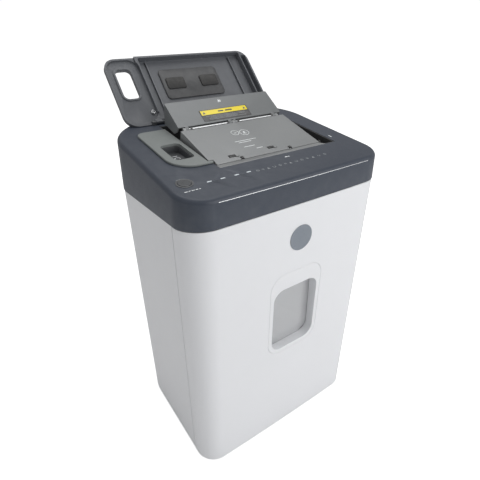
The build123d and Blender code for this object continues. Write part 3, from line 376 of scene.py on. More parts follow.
@dataclass(frozen=True)
class Metal:
    """Bare metal with fine streaks, slightly uneven in tone."""

    name: str
    colour: Colour
    roughness: float = 0.3
    streak: float = 0.25
    streak_scale: float = 900.0
    depth: float = 0.00002

    def build(self) -> bpy.types.Material:
        """The finished material."""
        material, shader = principled(self.name)
        tree = material.node_tree
        drift = effect(tree, Group.DRIFT, Amount=0.08, Scale=30.0)
        drift.inputs["Color"].default_value = (*self.colour, 1.0)
        tree.links.new(drift.outputs["Color"], shader.inputs["Base Color"])
        brush = effect(tree, Group.BRUSH, Scale=self.streak_scale)
        gloss = math_node(
            tree, "MULTIPLY_ADD", brush.outputs["Streaks"], self.streak,
            self.roughness - self.streak / 2,
        )
        tree.links.new(gloss, shader.inputs["Roughness"])
        shader.inputs["Metallic"].default_value = 1.0
        bumped(tree, shader, brush.outputs["Streaks"], self.depth)
        return material


@dataclass(frozen=True)
class Clear:
    """A clear or tinted window moulding."""

    name: str
    tint: Colour
    roughness: float = 0.04

    def build(self) -> bpy.types.Material:
        """The finished material."""
        material, shader = principled(self.name)
        tree = material.node_tree
        shader.inputs["Transmission Weight"].default_value = 0.5
        shader.inputs["IOR"].default_value = 1.49
        shader.inputs["Base Color"].default_value = (*self.tint, 1.0)
        grain = effect(tree, Group.GRAIN, Scale=60.0)
        smear = math_node(tree, "MULTIPLY_ADD", grain.outputs["Height"], 0.05, self.roughness)
        tree.links.new(smear, shader.inputs["Roughness"])
        return material


@dataclass(frozen=True)
class PaintedGlow:
    """A light pipe or a printed mark given a faint painted glow, so that it reads brighter."""

    name: str
    colour: Colour
    glow: float = 0.5

    def build(self) -> bpy.types.Material:
        """The finished material."""
        material, shader = principled(self.name)
        tree = material.node_tree
        drift = effect(tree, Group.DRIFT, Amount=0.05, Scale=300.0)
        drift.inputs["Color"].default_value = (*self.colour, 1.0)
        tree.links.new(drift.outputs["Color"], shader.inputs["Base Color"])
        # Painted glow: the colour is also sent out as faint light, so that the print and the light pipes read
        # brighter.
        tree.links.new(drift.outputs["Color"], shader.inputs["Emission Color"])
        shader.inputs["Emission Strength"].default_value = self.glow
        shader.inputs["Roughness"].default_value = 0.3
        return material


class Finish(Enum):
    """Every finish on the shredder."""

    WHITE = Moulded(
        "white_shell", (0.85, 0.86, 0.885), 0.38, 0.00002, 1200.0, 0.015, dust=0.01, coat=0.25
    )
    BIN = Moulded("pale_bin", (0.75, 0.76, 0.77), 0.5, drift=0.03)
    HEAD = Moulded(
        "dark_head", (0.036, 0.046, 0.068), 0.42, 0.00005, 1300.0, dust=0.02, rub=(0.3, 0.32, 0.34)
    )
    LID = Moulded("dark_lid", (0.105, 0.112, 0.125), 0.46, 0.00005, 1300.0, rub=(0.35, 0.36, 0.38))
    PAD_PLATE = Moulded("pressure_plate_black", (0.04, 0.042, 0.046), 0.5)
    CHAMBER = Moulded("chamber_black", (0.02, 0.021, 0.023), 0.5, dust=0.08)
    SILVER = Moulded(
        "silver_paint", (0.27, 0.28, 0.285), 0.38, 0.00003, 2400.0, 0.03, metallic=0.35, coat=0.1
    )
    # A darker copy of the same silver paint, for the upper panel: painted shade.
    SILVER_PAINTED_SHADE = Moulded(
        "silver_paint_upper_painted_shade", (0.19, 0.2, 0.205), 0.4, 0.00003, 2400.0, 0.03, metallic=0.3
    )
    GRIP = Moulded("grip_grey", (0.23, 0.25, 0.245), 0.42, 0.00004, 1500.0, 0.04)
    RECESS = Moulded("recess_dark", (0.06, 0.064, 0.07), 0.35)
    BASE = Moulded("base_black", (0.025, 0.025, 0.027), 0.55, 0.00008, 900.0, dust=0.1)
    RUBBER = Moulded("soft_rubber", (0.018, 0.018, 0.019), 0.75, 0.0001, 700.0, 0.1, rubbed=0.05, dust=0.12)
    BUTTON = Moulded("button_black", (0.05, 0.055, 0.062), 0.3, 0.00003, coat=0.4)
    BADGE = Moulded("badge_grey", (0.23, 0.26, 0.3), 0.3, 0.00001, 2000.0, 0.02, metallic=0.4, coat=0.3)
    BOARD = Moulded("solder_mask", (0.02, 0.13, 0.06), 0.35, coat=0.3)
    YELLOW = Moulded("label_yellow", (0.95, 0.76, 0.005), 0.3, 0.00001, 900.0, 0.02, rubbed=0.1, coat=0.3)
    BLACK_PRINT = Moulded("label_black", (0.012, 0.012, 0.013), 0.35, 0.00001, drift=0.02)
    NYLON = Moulded("gear_nylon", (0.76, 0.73, 0.62), 0.45)
    STEEL = Metal("ground_steel", (0.62, 0.63, 0.64))
    CUTTER = Metal("cutter_steel", (0.4, 0.4, 0.41), 0.36)
    GEAR = Metal("sintered_steel", (0.36, 0.35, 0.33), 0.45, 0.15)
    BRONZE = Metal("sintered_bronze", (0.62, 0.4, 0.18), 0.4, 0.15)
    # A bright metal strip that paints the highlight along the deck's front edge.
    HIGHLIGHT_STRIP = Metal("painted_highlight_strip", (0.86, 0.88, 0.9), 0.35, 0.1)
    PANE = Clear("clear_pane", (0.88, 0.89, 0.91))
    # The light pipes and the white print both carry a faint painted glow.
    LIGHT = PaintedGlow("light_pipe", (0.72, 0.78, 0.82), 0.12)
    PRINT = PaintedGlow("white_print_painted_glow", (0.85, 0.88, 0.89), 0.12)
    FAINT = Moulded("faint_print", (0.3, 0.32, 0.335), 0.4, 0.00001)


@dataclass
class Palette:
    """Builds each finish's material once."""

    made: dict[Finish, bpy.types.Material] = field(default_factory=dict)

    def get(self, finish: Finish) -> bpy.types.Material:
        """The material of a finish, made on first use."""
        if finish not in self.made:
            self.made[finish] = finish.value.build()
        return self.made[finish]


PALETTE = Palette()


# ------------------------------------------------------------------ shop tools
@dataclass(frozen=True)
class Seat:
    """A flat place on the shredder: an origin, a tilt about X and a height above it."""

    y: float
    z: float
    tilt: float  # radians from level, rising towards the back
    x: float = 0.0

    def matrix(self) -> Matrix:
        """The seat's X across, Y up the slope and Z out of it, in the frame."""
        turn = Matrix.Rotation(self.tilt, 4, "X")
        return Matrix.Translation((self.x, self.y, self.z)) @ turn


def finish_piece(
    name: str,
    bm: bmesh.types.BMesh,
    finish: Finish,
    body: str,
    place: Matrix | None = None,
    angle: float = 30.0,
) -> bpy.types.Object:
    """Turns a bmesh into a finished piece that rides on a body.

    Args:
        name: The piece's name.
        bm: The shape, which is freed.
        finish: Its finish.
        body: The CAD body that it rides on.
        place: Where it goes in the frame.
        angle: Edges sharper than this, in degrees, stay crisp.

    Returns:
        The object.
    """
    if place is not None:
        bmesh.ops.transform(bm, matrix=place, verts=bm.verts)
    bmesh.ops.recalc_face_normals(bm, faces=bm.faces)
    mesh = bpy.data.meshes.new(name)
    bm.to_mesh(mesh)
    bm.free()
    mesh.shade_smooth()
    mesh.set_sharp_from_angle(angle=math.radians(angle))
    piece = bpy.data.objects.new(name, mesh)
    bpy.context.scene.collection.objects.link(piece)
    mesh.materials.append(PALETTE.get(finish))
    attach(piece, body)
    return piece


def eased(bm: bmesh.types.BMesh, width: float, segments: int = 2, sharp: float = 40.0) -> None:
    """Rounds every edge sharper than an angle.

    Args:
        bm: The shape.
        width: The rounding's width.
        segments: Steps round the edge.
        sharp: The angle in degrees above which an edge is rounded.
    """
    limit = math.radians(sharp)
    edges = [e for e in bm.edges if len(e.link_faces) == 2 and e.calc_face_angle(0.0) > limit]
    bmesh.ops.bevel(
        bm, geom=edges, offset=width, offset_type="OFFSET", affect="EDGES", segments=segments,
        profile=0.5, material=-1, clamp_overlap=True,
    )


def rounded_slab(width: float, length: float, thickness: float, radius: float) -> bmesh.types.BMesh:
    """A flat slab with round corners, standing on Z = 0 with its middle at the origin.

    Args:
        width: Size along X.
        length: Size along Y.
        thickness: Size along Z.
        radius: The corners' radius in plan.

    Returns:
        The shape.
    """
    bm = bmesh.new()
    size = Matrix.Diagonal((width, length, thickness, 1.0))
    bmesh.ops.create_cube(bm, size=1.0, matrix=Matrix.Translation((0, 0, thickness / 2)) @ size)
    upright = [e for e in bm.edges if abs(e.verts[0].co.z - e.verts[1].co.z) > thickness / 2]
    limit = min(radius, width / 2 - 1e-5, length / 2 - 1e-5)
    bmesh.ops.bevel(
        bm, geom=upright, offset=limit, affect="EDGES", segments=6, profile=0.5, material=-1
    )
    return bm


def round_slab(radius: float, thickness: float, steps: int = 40) -> bmesh.types.BMesh:
    """A disc standing on Z = 0.

    Args:
        radius: Its radius.
        thickness: Its thickness.
        steps: Sides.

    Returns:
        The shape.
    """
    bm = bmesh.new()
    bmesh.ops.create_cone(
        bm, cap_ends=True, segments=steps, radius1=radius, radius2=radius, depth=thickness,
        matrix=Matrix.Translation((0, 0, thickness / 2)),
    )
    return bm


def ring_slab(radius: float, width: float, thickness: float, sweep: float = 360.0) -> bmesh.types.BMesh:
    """A flat ring, or a part of one, spun from its square section.

    Args:
        radius: Its outer radius.
        width: Its width in plan.
        thickness: Its thickness.
        sweep: How far round it goes, in degrees, centred opposite +Y.

    Returns:
        The shape.
    """
    bm = bmesh.new()
    corners = (
        (radius - width, 0.0), (radius, 0.0), (radius, thickness), (radius - width, thickness),
    )
    verts = [bm.verts.new((x, 0.0, z)) for x, z in corners]
    face = bm.faces.new(verts)
    whole = sweep >= 360.0
    start = 90.0 + (360.0 - sweep) / 2
    bmesh.ops.rotate(
        bm, verts=bm.verts, cent=(0, 0, 0), matrix=Matrix.Rotation(math.radians(start), 3, "Z")
    )
    steps = max(8, int(sweep / 9))
    if whole:
        edges = list(face.edges)
        bmesh.ops.delete(bm, geom=[face], context="FACES_ONLY")
        bmesh.ops.spin(
            bm, geom=edges, axis=(0, 0, 1), cent=(0, 0, 0), angle=math.tau, steps=steps,
            use_merge=True,
        )
    else:
        bmesh.ops.spin(
            bm, geom=[face], axis=(0, 0, 1), cent=(0, 0, 0), angle=math.radians(sweep), steps=steps
        )
    return bm


def coil_wire(radius: float, wire: float, pitch: float, turns: int) -> bmesh.types.BMesh:
    """A coil spring standing on Z = 0, spun from its round section.

    Args:
        radius: The coil's radius to the wire's middle.
        wire: The wire's radius.
        pitch: The rise of one turn.
        turns: How many turns.

    Returns:
        The shape.
    """
    bm = bmesh.new()
    upright = Matrix.Translation((radius, 0, 0)) @ Matrix.Rotation(math.pi / 2, 4, "X")
    bmesh.ops.create_circle(bm, cap_ends=True, segments=8, radius=wire, matrix=upright)
    steps = 20 * turns
    bmesh.ops.spin(
        bm, geom=list(bm.faces), axis=(0, 0, 1), cent=(0, 0, 0), angle=math.tau * turns,
        steps=steps, dvec=(0, 0, pitch / 20),
    )
    return bm


def wedge_slab(points: Sequence[Point], thickness: float) -> bmesh.types.BMesh:
    """A flat slab with the given corners, standing on Z = 0.

    Args:
        points: Its corners in plan.
        thickness: Its thickness.

    Returns:
        The shape.
    """
    bm = bmesh.new()
    face = bm.faces.new([bm.verts.new((x, y, 0.0)) for x, y in points])
    raised = bmesh.ops.extrude_face_region(bm, geom=[face], use_keep_orig=True)
    tops = [v for v in raised["geom"] if isinstance(v, bmesh.types.BMVert)]
    bmesh.ops.translate(bm, verts=tops, vec=(0, 0, thickness))
    return bm


def joined(*shapes: bmesh.types.BMesh) -> bmesh.types.BMesh:
    """Several shapes as one, the others freed.

    Args:
        shapes: The shapes, the first of which takes the rest in.

    Returns:
        The first shape.
    """
    first, *rest = shapes
    for other in rest:
        spare = bpy.data.meshes.new("spare")
        other.to_mesh(spare)
        other.free()
        first.from_mesh(spare)
        bpy.data.meshes.remove(spare)
    return first


def moved(bm: bmesh.types.BMesh, place: Matrix | Iterable[float]) -> bmesh.types.BMesh:
    """A shape moved by a matrix or by an offset.

    Args:
        bm: The shape.
        place: The matrix or the offset.

    Returns:
        The same shape.
    """
    matrix = place if isinstance(place, Matrix) else Matrix.Translation(tuple(place))
    bmesh.ops.transform(bm, matrix=matrix, verts=bm.verts)
    return bm


def bar_mark(length: float, width: float, rise: float = 0.12) -> bmesh.types.BMesh:
    """A printed bar with round ends, in millimetres.

    Args:
        length: Its length along X.
        width: Its width.
        rise: How far it stands proud.

    Returns:
        The shape.
    """
    return rounded_slab(length * MM, width * MM, rise * MM, width * MM * 0.45)


def ring_mark(radius: float, width: float, sweep: float = 360.0) -> bmesh.types.BMesh:
    """A printed ring, in millimetres.

    Args:
        radius: Its outer radius.
        width: Its line width.
        sweep: How far round it goes, in degrees.

    Returns:
        The shape.
    """
    return ring_slab(radius * MM, width * MM, 0.12 * MM, sweep)


def triangle_mark(size: float, rise: float = 0.12) -> bmesh.types.BMesh:
    """A printed triangle pointing up the slope, in millimetres.

    Args:
        size: Its base and height.
        rise: How far it stands proud.

    Returns:
        The shape.
    """
    half = size * MM / 2
    return wedge_slab(((-half, -half), (half, -half), (0.0, half)), rise * MM)


def lines_mark(rows: Sequence[tuple[float, float, float]], width: float) -> bmesh.types.BMesh:
    """Several short plain bars that stand for a printed note, in millimetres.

    Args:
        rows: The middle X, the middle Y and the length of each bar.
        width: The bars' width.

    Returns:
        The shape.
    """
    bars = [
        moved(bar_mark(length, width), (x * MM, y * MM, 0.0)) for x, y, length in rows
    ]
    return joined(*bars)


@dataclass(frozen=True)
class Cover:
    """How one CAD node is shown: its finish, its slot and how much its edges are eased."""

    node: str
    finish: Finish
    body: str
    slot: str
    ease: float = 0.4  # millimetres
    angle: float = 32.0

    def build(self, frame: dict) -> bpy.types.Object:
        """A merged, smooth, edge-eased copy of the node that stands for it.

        Args:
            frame: The loaded frame.

        Returns:
            The object.
        """
        source = frame["nodes"][self.node]
        bm = bmesh.new()
        bm.from_mesh(source.data)
        bmesh.ops.remove_doubles(bm, verts=bm.verts, dist=0.000004)
        bmesh.ops.dissolve_degenerate(bm, edges=bm.edges, dist=0.000002)
        mesh = bpy.data.meshes.new(f"{self.node}_skin")
        bm.to_mesh(mesh)
        bm.free()
        mesh.shade_smooth()
        mesh.set_sharp_from_angle(angle=math.radians(self.angle))
        skin = bpy.data.objects.new(f"{self.node}_skin", mesh)
        bpy.context.scene.collection.objects.link(skin)
        mesh.materials.clear()
        mesh.materials.append(PALETTE.get(self.finish))
        if self.ease > 0:
            edge = skin.modifiers.new("eased_edges", "BEVEL")
            edge.width = self.ease * MM
            edge.segments = 2
            edge.limit_method = "ANGLE"
            edge.angle_limit = math.radians(50.0)
            edge.harden_normals = True
            edge.use_clamp_overlap = True
        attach(skin, self.body)
        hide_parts(self.node)
        return skin


def paint(frame: dict, finish: Finish, *nodes: str) -> None:
    """Gives CAD nodes that are shown as they are a finish.

    Args:
        frame: The loaded frame.
        finish: The finish.
        nodes: The nodes' names.
    """
    for name in nodes:
        data = frame["nodes"][name].data
        data.materials.clear()
        data.materials.append(PALETTE.get(finish))


DECK_RISE, DECK_DEPTH = 40.0, 324.0  # millimetres the deck climbs, front to back
DECK_MIDDLE = 590.0  # millimetres above the floor at Y = 0
DECK = Seat(0.0, 0.590, math.atan2(DECK_RISE, DECK_DEPTH))
LID_SEAT = Seat(0.1265, 0.60965, math.radians(46.2))
LOWER_SEAT = Seat(-0.068, 0.579, math.radians(16.6))
UPPER_SEAT = Seat(0.03756, 0.61203, math.radians(34.2))


# ------------------------------------------------------------------ sub-assemblies
@dataclass
class Assembly:
    """What every sub-assembly has: the frame, its body and its list of covers."""

    frame: dict
    body: str = "cabinet"
    covers: tuple[Cover, ...] = ()

    def build(self) -> list[bpy.types.Object]:
        """Shows the covers, then the trim."""
        shown = [cover.build(self.frame) for cover in self.covers]
        return shown + self.trim()

    def trim(self) -> list[bpy.types.Object]:
        """The pieces added beyond the CAD nodes; none by default."""
        return []

    def piece(
        self, name: str, bm: bmesh.types.BMesh, finish: Finish, slot: str, seat: Seat,
        across: float = 0.0, along: float = 0.0, up: float = 0.0, turn: float = 0.0,
    ) -> bpy.types.Object:
        """Puts a shape on a seat, in millimetres, and finishes it.

        Args:
            name: The piece's name.
            bm: The shape.
            finish: Its finish.
            slot: The record's material slot; not used.
            seat: Where it sits.
            across: Millimetres along X.
            along: Millimetres up the slope.
            up: Millimetres above the seat.
            turn: Degrees about the seat's normal.

        Returns:
            The object.
        """
        local = Matrix.Translation((across * MM, along * MM, up * MM))
        place = seat.matrix() @ local @ Matrix.Rotation(math.radians(turn), 4, "Z")
        return finish_piece(name, bm, finish, self.body, place)


@dataclass
class Cabinet(Assembly):
    """The white cabinet, its base, rails and feet."""

    covers: tuple[Cover, ...] = (
        Cover("cabinet_shell", Finish.WHITE, "cabinet", "white_shell", 0.5),
        Cover("base_plate", Finish.BASE, "cabinet", "base_black", 0.6),
        Cover("bin_rails", Finish.BASE, "cabinet", "base_black", 0.3),
        Cover("rubber_feet", Finish.RUBBER, "cabinet", "rubber", 1.0),
    )


@dataclass
class Bin(Assembly):
    """The pull-out bin with its front panel, window and badge."""

    body: str = "bin"
    covers: tuple[Cover, ...] = (
        Cover("bin_front_panel", Finish.WHITE, "bin", "white_shell", 0.5),
        Cover("bin_tub", Finish.BIN, "bin", "bin_plastic", 0.4),
        Cover("window_bezel", Finish.WHITE, "bin", "white_shell", 0.8),
        Cover("window_pane", Finish.PANE, "bin", "clear_window", 0.2),
        Cover("badge_disc", Finish.BADGE, "bin", "badge_grey", 0.2),
    )


@dataclass
class Head(Assembly):
    """The dark head: cover, pan, feed chamber, grip plate, recess and rear fittings."""

    covers: tuple[Cover, ...] = (
        Cover("head_cover", Finish.HEAD, "cabinet", "dark_head", 0.0),
        Cover("head_pan", Finish.BASE, "cabinet", "base_black", 0.4),
        Cover("feed_chamber", Finish.CHAMBER, "cabinet", "chamber_black", 0.4),
        Cover("front_sill", Finish.SILVER, "cabinet", "silver_paint", 0.3),
        Cover("grip_plate", Finish.GRIP, "cabinet", "grip_grey", 0.6),
        Cover("finger_recess", Finish.RECESS, "cabinet", "dark_head", 0.5),
        Cover("button_bezel", Finish.BUTTON, "cabinet", "dark_head", 0.3),
        Cover("status_lights", Finish.LIGHT, "cabinet", "light_pipe", 0.1),
        Cover("power_inlet", Finish.BASE, "cabinet", "base_black", 0.4),
        Cover("rocker_frame", Finish.BASE, "cabinet", "base_black", 0.4),
        Cover("hinge_brackets", Finish.RECESS, "cabinet", "dark_head", 0.2),
    )
    arrow_place: Point = (-132.0, -8.0)
    recess_floor: float = -9.02
    icon_row: float = -117.5
    icon_places: tuple[float, ...] = (
        -52.0, -42.0, -32.0, -20.0, -8.0, 3.0, 13.0, 26.0, 38.0, 50.0, 62.0, 76.0, 90.0,
    )
    # The strip that paints the highlight along the deck's front edge:
    line_height: float = 564.5
    line_half_height: float = 0.3
    line_front: float = -163.56
    line_backing: float = 0.5
    line_slant: float = 0.12
    line_reach: float = 150.0
    front_radius: float = 8001.0  # of the gentle bow across the front

    def _mark(
        self, name: str, bm: bmesh.types.BMesh, x: float, y: float, up: float = 0.0,
        finish: Finish = Finish.PRINT, turn: float = 0.0,
    ) -> bpy.types.Object:
        """Puts a printed mark on the deck.

        Args:
            name: The piece's name.
            bm: The mark.
            x: Millimetres along X.
            y: Millimetres along Y.
            up: Millimetres above the deck.
            finish: The print's finish.
            turn: Degrees about the deck's normal.

        Returns:
            The object.
        """
        along = y / math.cos(DECK.tilt)
        return self.piece(name, bm, finish, "dark_head", DECK, x, along, up, turn)

    def trim(self) -> list[bpy.types.Object]:
        """Marks on the deck, the strip that paints the highlight along its front edge, the recess arrow and
        the rear fittings.
        """
        made = [self._edge_line(), *self._key_marks(), *self._icons(), self._recess_arrow()]
        return made + self._rear_fittings()

    def _edge_line(self) -> bpy.types.Object:
        """A bright metal strip that paints the highlight line where the deck turns down into the front."""
        bm = bmesh.new()
        front = self.line_front * MM
        low = (self.line_height - self.line_half_height) * MM
        high = (self.line_height + self.line_half_height) * MM
        slant, backing = self.line_slant * MM, self.line_backing * MM
        corners = ((front - slant, low), (front + backing, low),
                   (front + backing + slant, high), (front, high))
        face = bm.faces.new([bm.verts.new((0.0, y, z)) for y, z in corners])
        centre = (0.0, front + self.front_radius * MM, 0.0)
        half = math.asin(self.line_reach / self.front_radius)
        turn = Matrix.Rotation(-half, 3, "Z")
        bmesh.ops.rotate(bm, verts=bm.verts, cent=centre, matrix=turn)
        bmesh.ops.spin(
            bm, geom=[face], axis=(0, 0, 1), cent=centre, angle=2 * half, steps=30
        )
        return finish_piece("deck_edge_painted_highlight", bm, Finish.HIGHLIGHT_STRIP, self.body)

    def _key_marks(self) -> list[bpy.types.Object]:
        """The plain marks round the power button and the two spots by the feed."""
        above = lines_mark(((-2.5, 0.0, 3.5), (2.0, 0.6, 2.5)), 1.0)
        below = lines_mark(
            ((-10.0, 0.0, 5.0), (-4.5, 0.2, 3.0), (1.0, 0.0, 5.0), (7.0, 0.2, 4.0), (11.6, 0.0, 2.6)),
            1.3,
        )
        spot = joined(bar_mark(6.0, 2.2), moved(triangle_mark(3.0), (5.0 * MM, 0.0, 0.0)))
        side_spot = joined(bar_mark(2.2, 6.0), moved(triangle_mark(3.0), (0.0, 5.0 * MM, 0.0)))
        return [
            self._mark("mark_above_button", above, -172.4, -90.5, finish=Finish.FAINT),
            self._mark("mark_below_button", below, -169.5, -126.5),
            self._mark("mark_feed_side", spot, 22.0, -97.0),
            self._mark("mark_chamber_side", side_spot, 161.0, -62.0),
        ]

    def _icons(self) -> list[bpy.types.Object]:
        """A faint row of generic symbols: rings, bars, triangles and small frames."""
        makers: tuple[Callable[[], bmesh.types.BMesh], ...] = (
            lambda: joined(ring_mark(2.6, 0.6), bar_mark(0.8, 2.4)),
            lambda: lines_mark(((0.0, 1.6, 4.4), (0.0, 0.0, 4.4), (0.0, -1.6, 3.0)), 0.6),
            lambda: joined(triangle_mark(4.0), moved(bar_mark(4.6, 0.7), (0.0, -2.8 * MM, 0.0))),
            lambda: ring_mark(2.8, 0.7, 270.0),
        )
        return [
            self._mark(
                f"icon_{number + 1:02d}", makers[number % len(makers)](), x, self.icon_row,
                finish=Finish.FAINT,
            )
            for number, x in enumerate(self.icon_places)
        ]

    def _recess_arrow(self) -> bpy.types.Object:
        """The lift arrow on the floor of the finger recess."""
        arrow = joined(
            moved(ring_mark(5.2, 1.0, 200.0), (0.0, 1.0 * MM, 0.0)),
            moved(triangle_mark(4.2), (0.0, 7.0 * MM, 0.0)),
            moved(bar_mark(9.0, 1.0), (0.0, -9.5 * MM, 0.0)),
        )
        return self._mark("recess_arrow", arrow, *self.arrow_place, up=self.recess_floor, turn=180.0)

    def _rear_fittings(self) -> list[bpy.types.Object]:
        """Two screws beside the mains socket."""
        made = []
        inlet_low, inlet_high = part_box("power_inlet")
        inset = 3.0 * MM
        middle = (inlet_low[2] + inlet_high[2]) / 2
        for side, x in (("left", inlet_low[0] + inset), ("right", inlet_high[0] - inset)):
            head = round_slab(2.3 * MM, 0.9 * MM, 28)
            eased(head, 0.3 * MM, 2, 60.0)
            place = Matrix.Translation((x, inlet_high[1], middle)) @ Matrix.Rotation(
                -math.pi / 2, 4, "X"
            )
            made.append(
                finish_piece(f"socket_screw_{side}", head, Finish.STEEL, self.body, place)
            )
        return made


@dataclass
class PowerKey(Assembly):
    """The round power button."""

    body: str = "power_key"
    covers: tuple[Cover, ...] = (
        Cover("power_button", Finish.BUTTON, "power_key", "dark_head", 0.5),
    )
    middle: Point = (-170.0, -104.0)

    def trim(self) -> list[bpy.types.Object]:
        """The open ring and bar on the button."""
        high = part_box("power_button")[1]
        rise = high[2] / MM - DECK_MIDDLE - self.middle[1] * math.tan(DECK.tilt)
        symbol = joined(
            ring_mark(5.0, 0.9, 290.0), moved(bar_mark(0.9, 5.0), (0.0, 4.2 * MM, 0.0))
        )
        along = self.middle[1] / math.cos(DECK.tilt)
        top = rise * math.cos(DECK.tilt) - 10.0 * math.sin(DECK.tilt)
        return [
            self.piece(
                "power_symbol", symbol, Finish.PRINT, "dark_head", DECK, self.middle[0], along,
                top - 0.02,
            )
        ]


@dataclass
class Rocker(Assembly):
    """The rear rocker switch."""

    body: str = "rocker"
    covers: tuple[Cover, ...] = (
        Cover("rocker_switch", Finish.BUTTON, "rocker", "base_black", 0.4),
    )


@dataclass
class Lid(Assembly):
    """The rear-hinged lid, its inner plate and pads."""

    body: str = "lid"
    covers: tuple[Cover, ...] = (
        Cover("lid_shell", Finish.LID, "lid", "dark_lid", 0.6),
        Cover("pressure_plate", Finish.PAD_PLATE, "lid", "dark_lid", 0.6),
        Cover("pressure_pads", Finish.RUBBER, "lid", "rubber", 0.6),
    )
    floor_drop: float = -8.6  # the inner floor below the hinge plane
    ridge: float = -93.0
    tooth_pitch: float = 3.6
    tooth_count: int = 26
    first_tooth: float = 22.0
    boss: Point = (-103.0, 24.0)

    def trim(self) -> list[bpy.types.Object]:
        """The comb of teeth on the left ridge and the damper boss near the hinge."""
        return [self._teeth(), *self._boss()]

    def _teeth(self) -> bpy.types.Object:
        """Small teeth along the left ridge, as one piece."""
        teeth = []
        for number in range(self.tooth_count):
            tooth = rounded_slab(1.8 * MM, 1.5 * MM, 2.2 * MM, 0.4 * MM)
            teeth.append(moved(tooth, (0.0, number * self.tooth_pitch * MM, 0.0)))
        comb = joined(*teeth)
        return self.piece(
            "ridge_teeth", comb, Finish.PAD_PLATE, "dark_lid", LID_SEAT, self.ridge - 2.6,
            self.first_tooth, self.floor_drop,
        )

    def _boss(self) -> list[bpy.types.Object]:
        """A damper boss with a cap and its coil."""
        x, along = self.boss
        base = round_slab(4.6 * MM, 4.0 * MM)
        eased(base, 0.5 * MM, 2, 60.0)
        cap = round_slab(2.4 * MM, 6.4 * MM, 28)
        eased(cap, 0.5 * MM, 2, 60.0)
        coil = coil_wire(3.4 * MM, 0.45 * MM, 1.05 * MM, 4)
        return [
            self.piece("boss", base, Finish.PAD_PLATE, "dark_lid", LID_SEAT, x, along, self.floor_drop),
            self.piece("boss_cap", cap, Finish.STEEL, "steel", LID_SEAT, x, along, self.floor_drop),
            self.piece("boss_coil", coil, Finish.STEEL, "steel", LID_SEAT, x, along,
                       self.floor_drop + 4.5),
        ]


@dataclass
class LowerFlap(Assembly):
    """The lower feed panel."""

    body: str = "lower_flap_body"
    covers: tuple[Cover, ...] = (
        Cover("lower_flap", Finish.SILVER, "lower_flap_body", "silver_paint", 0.35),
    )
    skin_top: float = 3.0
    hook_places: tuple[Point, ...] = ((-60.0, 10.0), (20.0, 11.5))
    clip_places: tuple[Point, ...] = ((-47.0, 0.0), (54.0, 0.0))
    collars: tuple[float, ...] = (-82.5, -6.2, 15.4, 94.8)
    hinge_along: float = 110.6
    hinge_drop: float = 1.5

    def trim(self) -> list[bpy.types.Object]:
        """Printed rings and lines, the hooks in the slots and the hinge collars."""
        return self._prints() + self._hooks() + self._collars()

    def _put(
        self, name: str, bm: bmesh.types.BMesh, finish: Finish, x: float, along: float, up: float
    ) -> bpy.types.Object:
        """Puts a shape on the flap, in millimetres.

        Args:
            name: The piece's name.
            bm: The shape.
            finish: Its finish.
            x: Along X.
            along: Up the flap from its pivot.
            up: Above the flap's pivot plane.

        Returns:
            The object.
        """
        slot = "silver_paint" if finish is Finish.PRINT else "base_black"
        return self.piece(name, bm, finish, slot, LOWER_SEAT, x, along, up)

    def _prints(self) -> list[bpy.types.Object]:
        """Two rings of loading marks over three plain lines."""
        left = joined(ring_mark(7.5, 0.7), moved(bar_mark(5.0, 1.2), (0.0, -1.0 * MM, 0.0)))
        right = joined(
            ring_mark(9.0, 0.7), moved(triangle_mark(5.0), (0.0, 1.6 * MM, 0.0)),
            moved(bar_mark(7.0, 0.9), (0.0, -3.4 * MM, 0.0)),
        )
        lines = lines_mark(
            ((-9.6, 46.0, 44.0), (-14.0, 41.0, 26.0), (-14.3, 26.8, 22.0), (0.5, 17.2, 13.0)), 1.0
        )
        return [
            self._put("ring_left", left, Finish.PRINT, -14.0, 73.0, self.skin_top),
            self._put("ring_right", right, Finish.PRINT, 3.5, 69.5, self.skin_top),
            self._put("flap_lines", lines, Finish.PRINT, 0.0, 0.0, self.skin_top),
        ]

    def _hooks(self) -> list[bpy.types.Object]:
        """Black catches in the slots, each with a wire that curls over the flap."""
        made = []
        for number, (x, along) in enumerate(self.hook_places, 1):
            block = rounded_slab(11.0 * MM, 4.6 * MM, 3.0 * MM, 1.2 * MM)
            eased(block, 0.5 * MM, 2, 60.0)
            made.append(self._put(f"catch_{number}", block, Finish.BLACK_PRINT, x, along, 0.4))
            wire = ring_slab(4.2 * MM, 0.8 * MM, 0.7 * MM, 150.0)
            made.append(
                self._put(f"catch_wire_{number}", wire, Finish.BLACK_PRINT, x + 8.0, along - 1.0,
                          self.skin_top)
            )
        for number, (x, along) in enumerate(self.clip_places, 1):
            clip = rounded_slab(4.6 * MM, 6.0 * MM, 2.6 * MM, 1.0 * MM)
            eased(clip, 0.5 * MM, 2, 60.0)
            made.append(self._put(f"foot_clip_{number}", clip, Finish.BLACK_PRINT, x, along, 2.0))
        return made

    def _collars(self) -> list[bpy.types.Object]:
        """Black collars that keep the hinge rods in place."""
        made = []
        for number, x in enumerate(self.collars, 1):
            collar = ring_slab(2.9 * MM, 0.95 * MM, 3.6 * MM)
            bmesh.ops.rotate(
                collar, verts=collar.verts, cent=(0, 0, 0),
                matrix=Matrix.Rotation(math.pi / 2, 3, "Y"),
            )
            made.append(
                self._put(
                    f"rod_collar_{number}", collar, Finish.BLACK_PRINT, x, self.hinge_along,
                    self.hinge_drop,
                )
            )
        return made


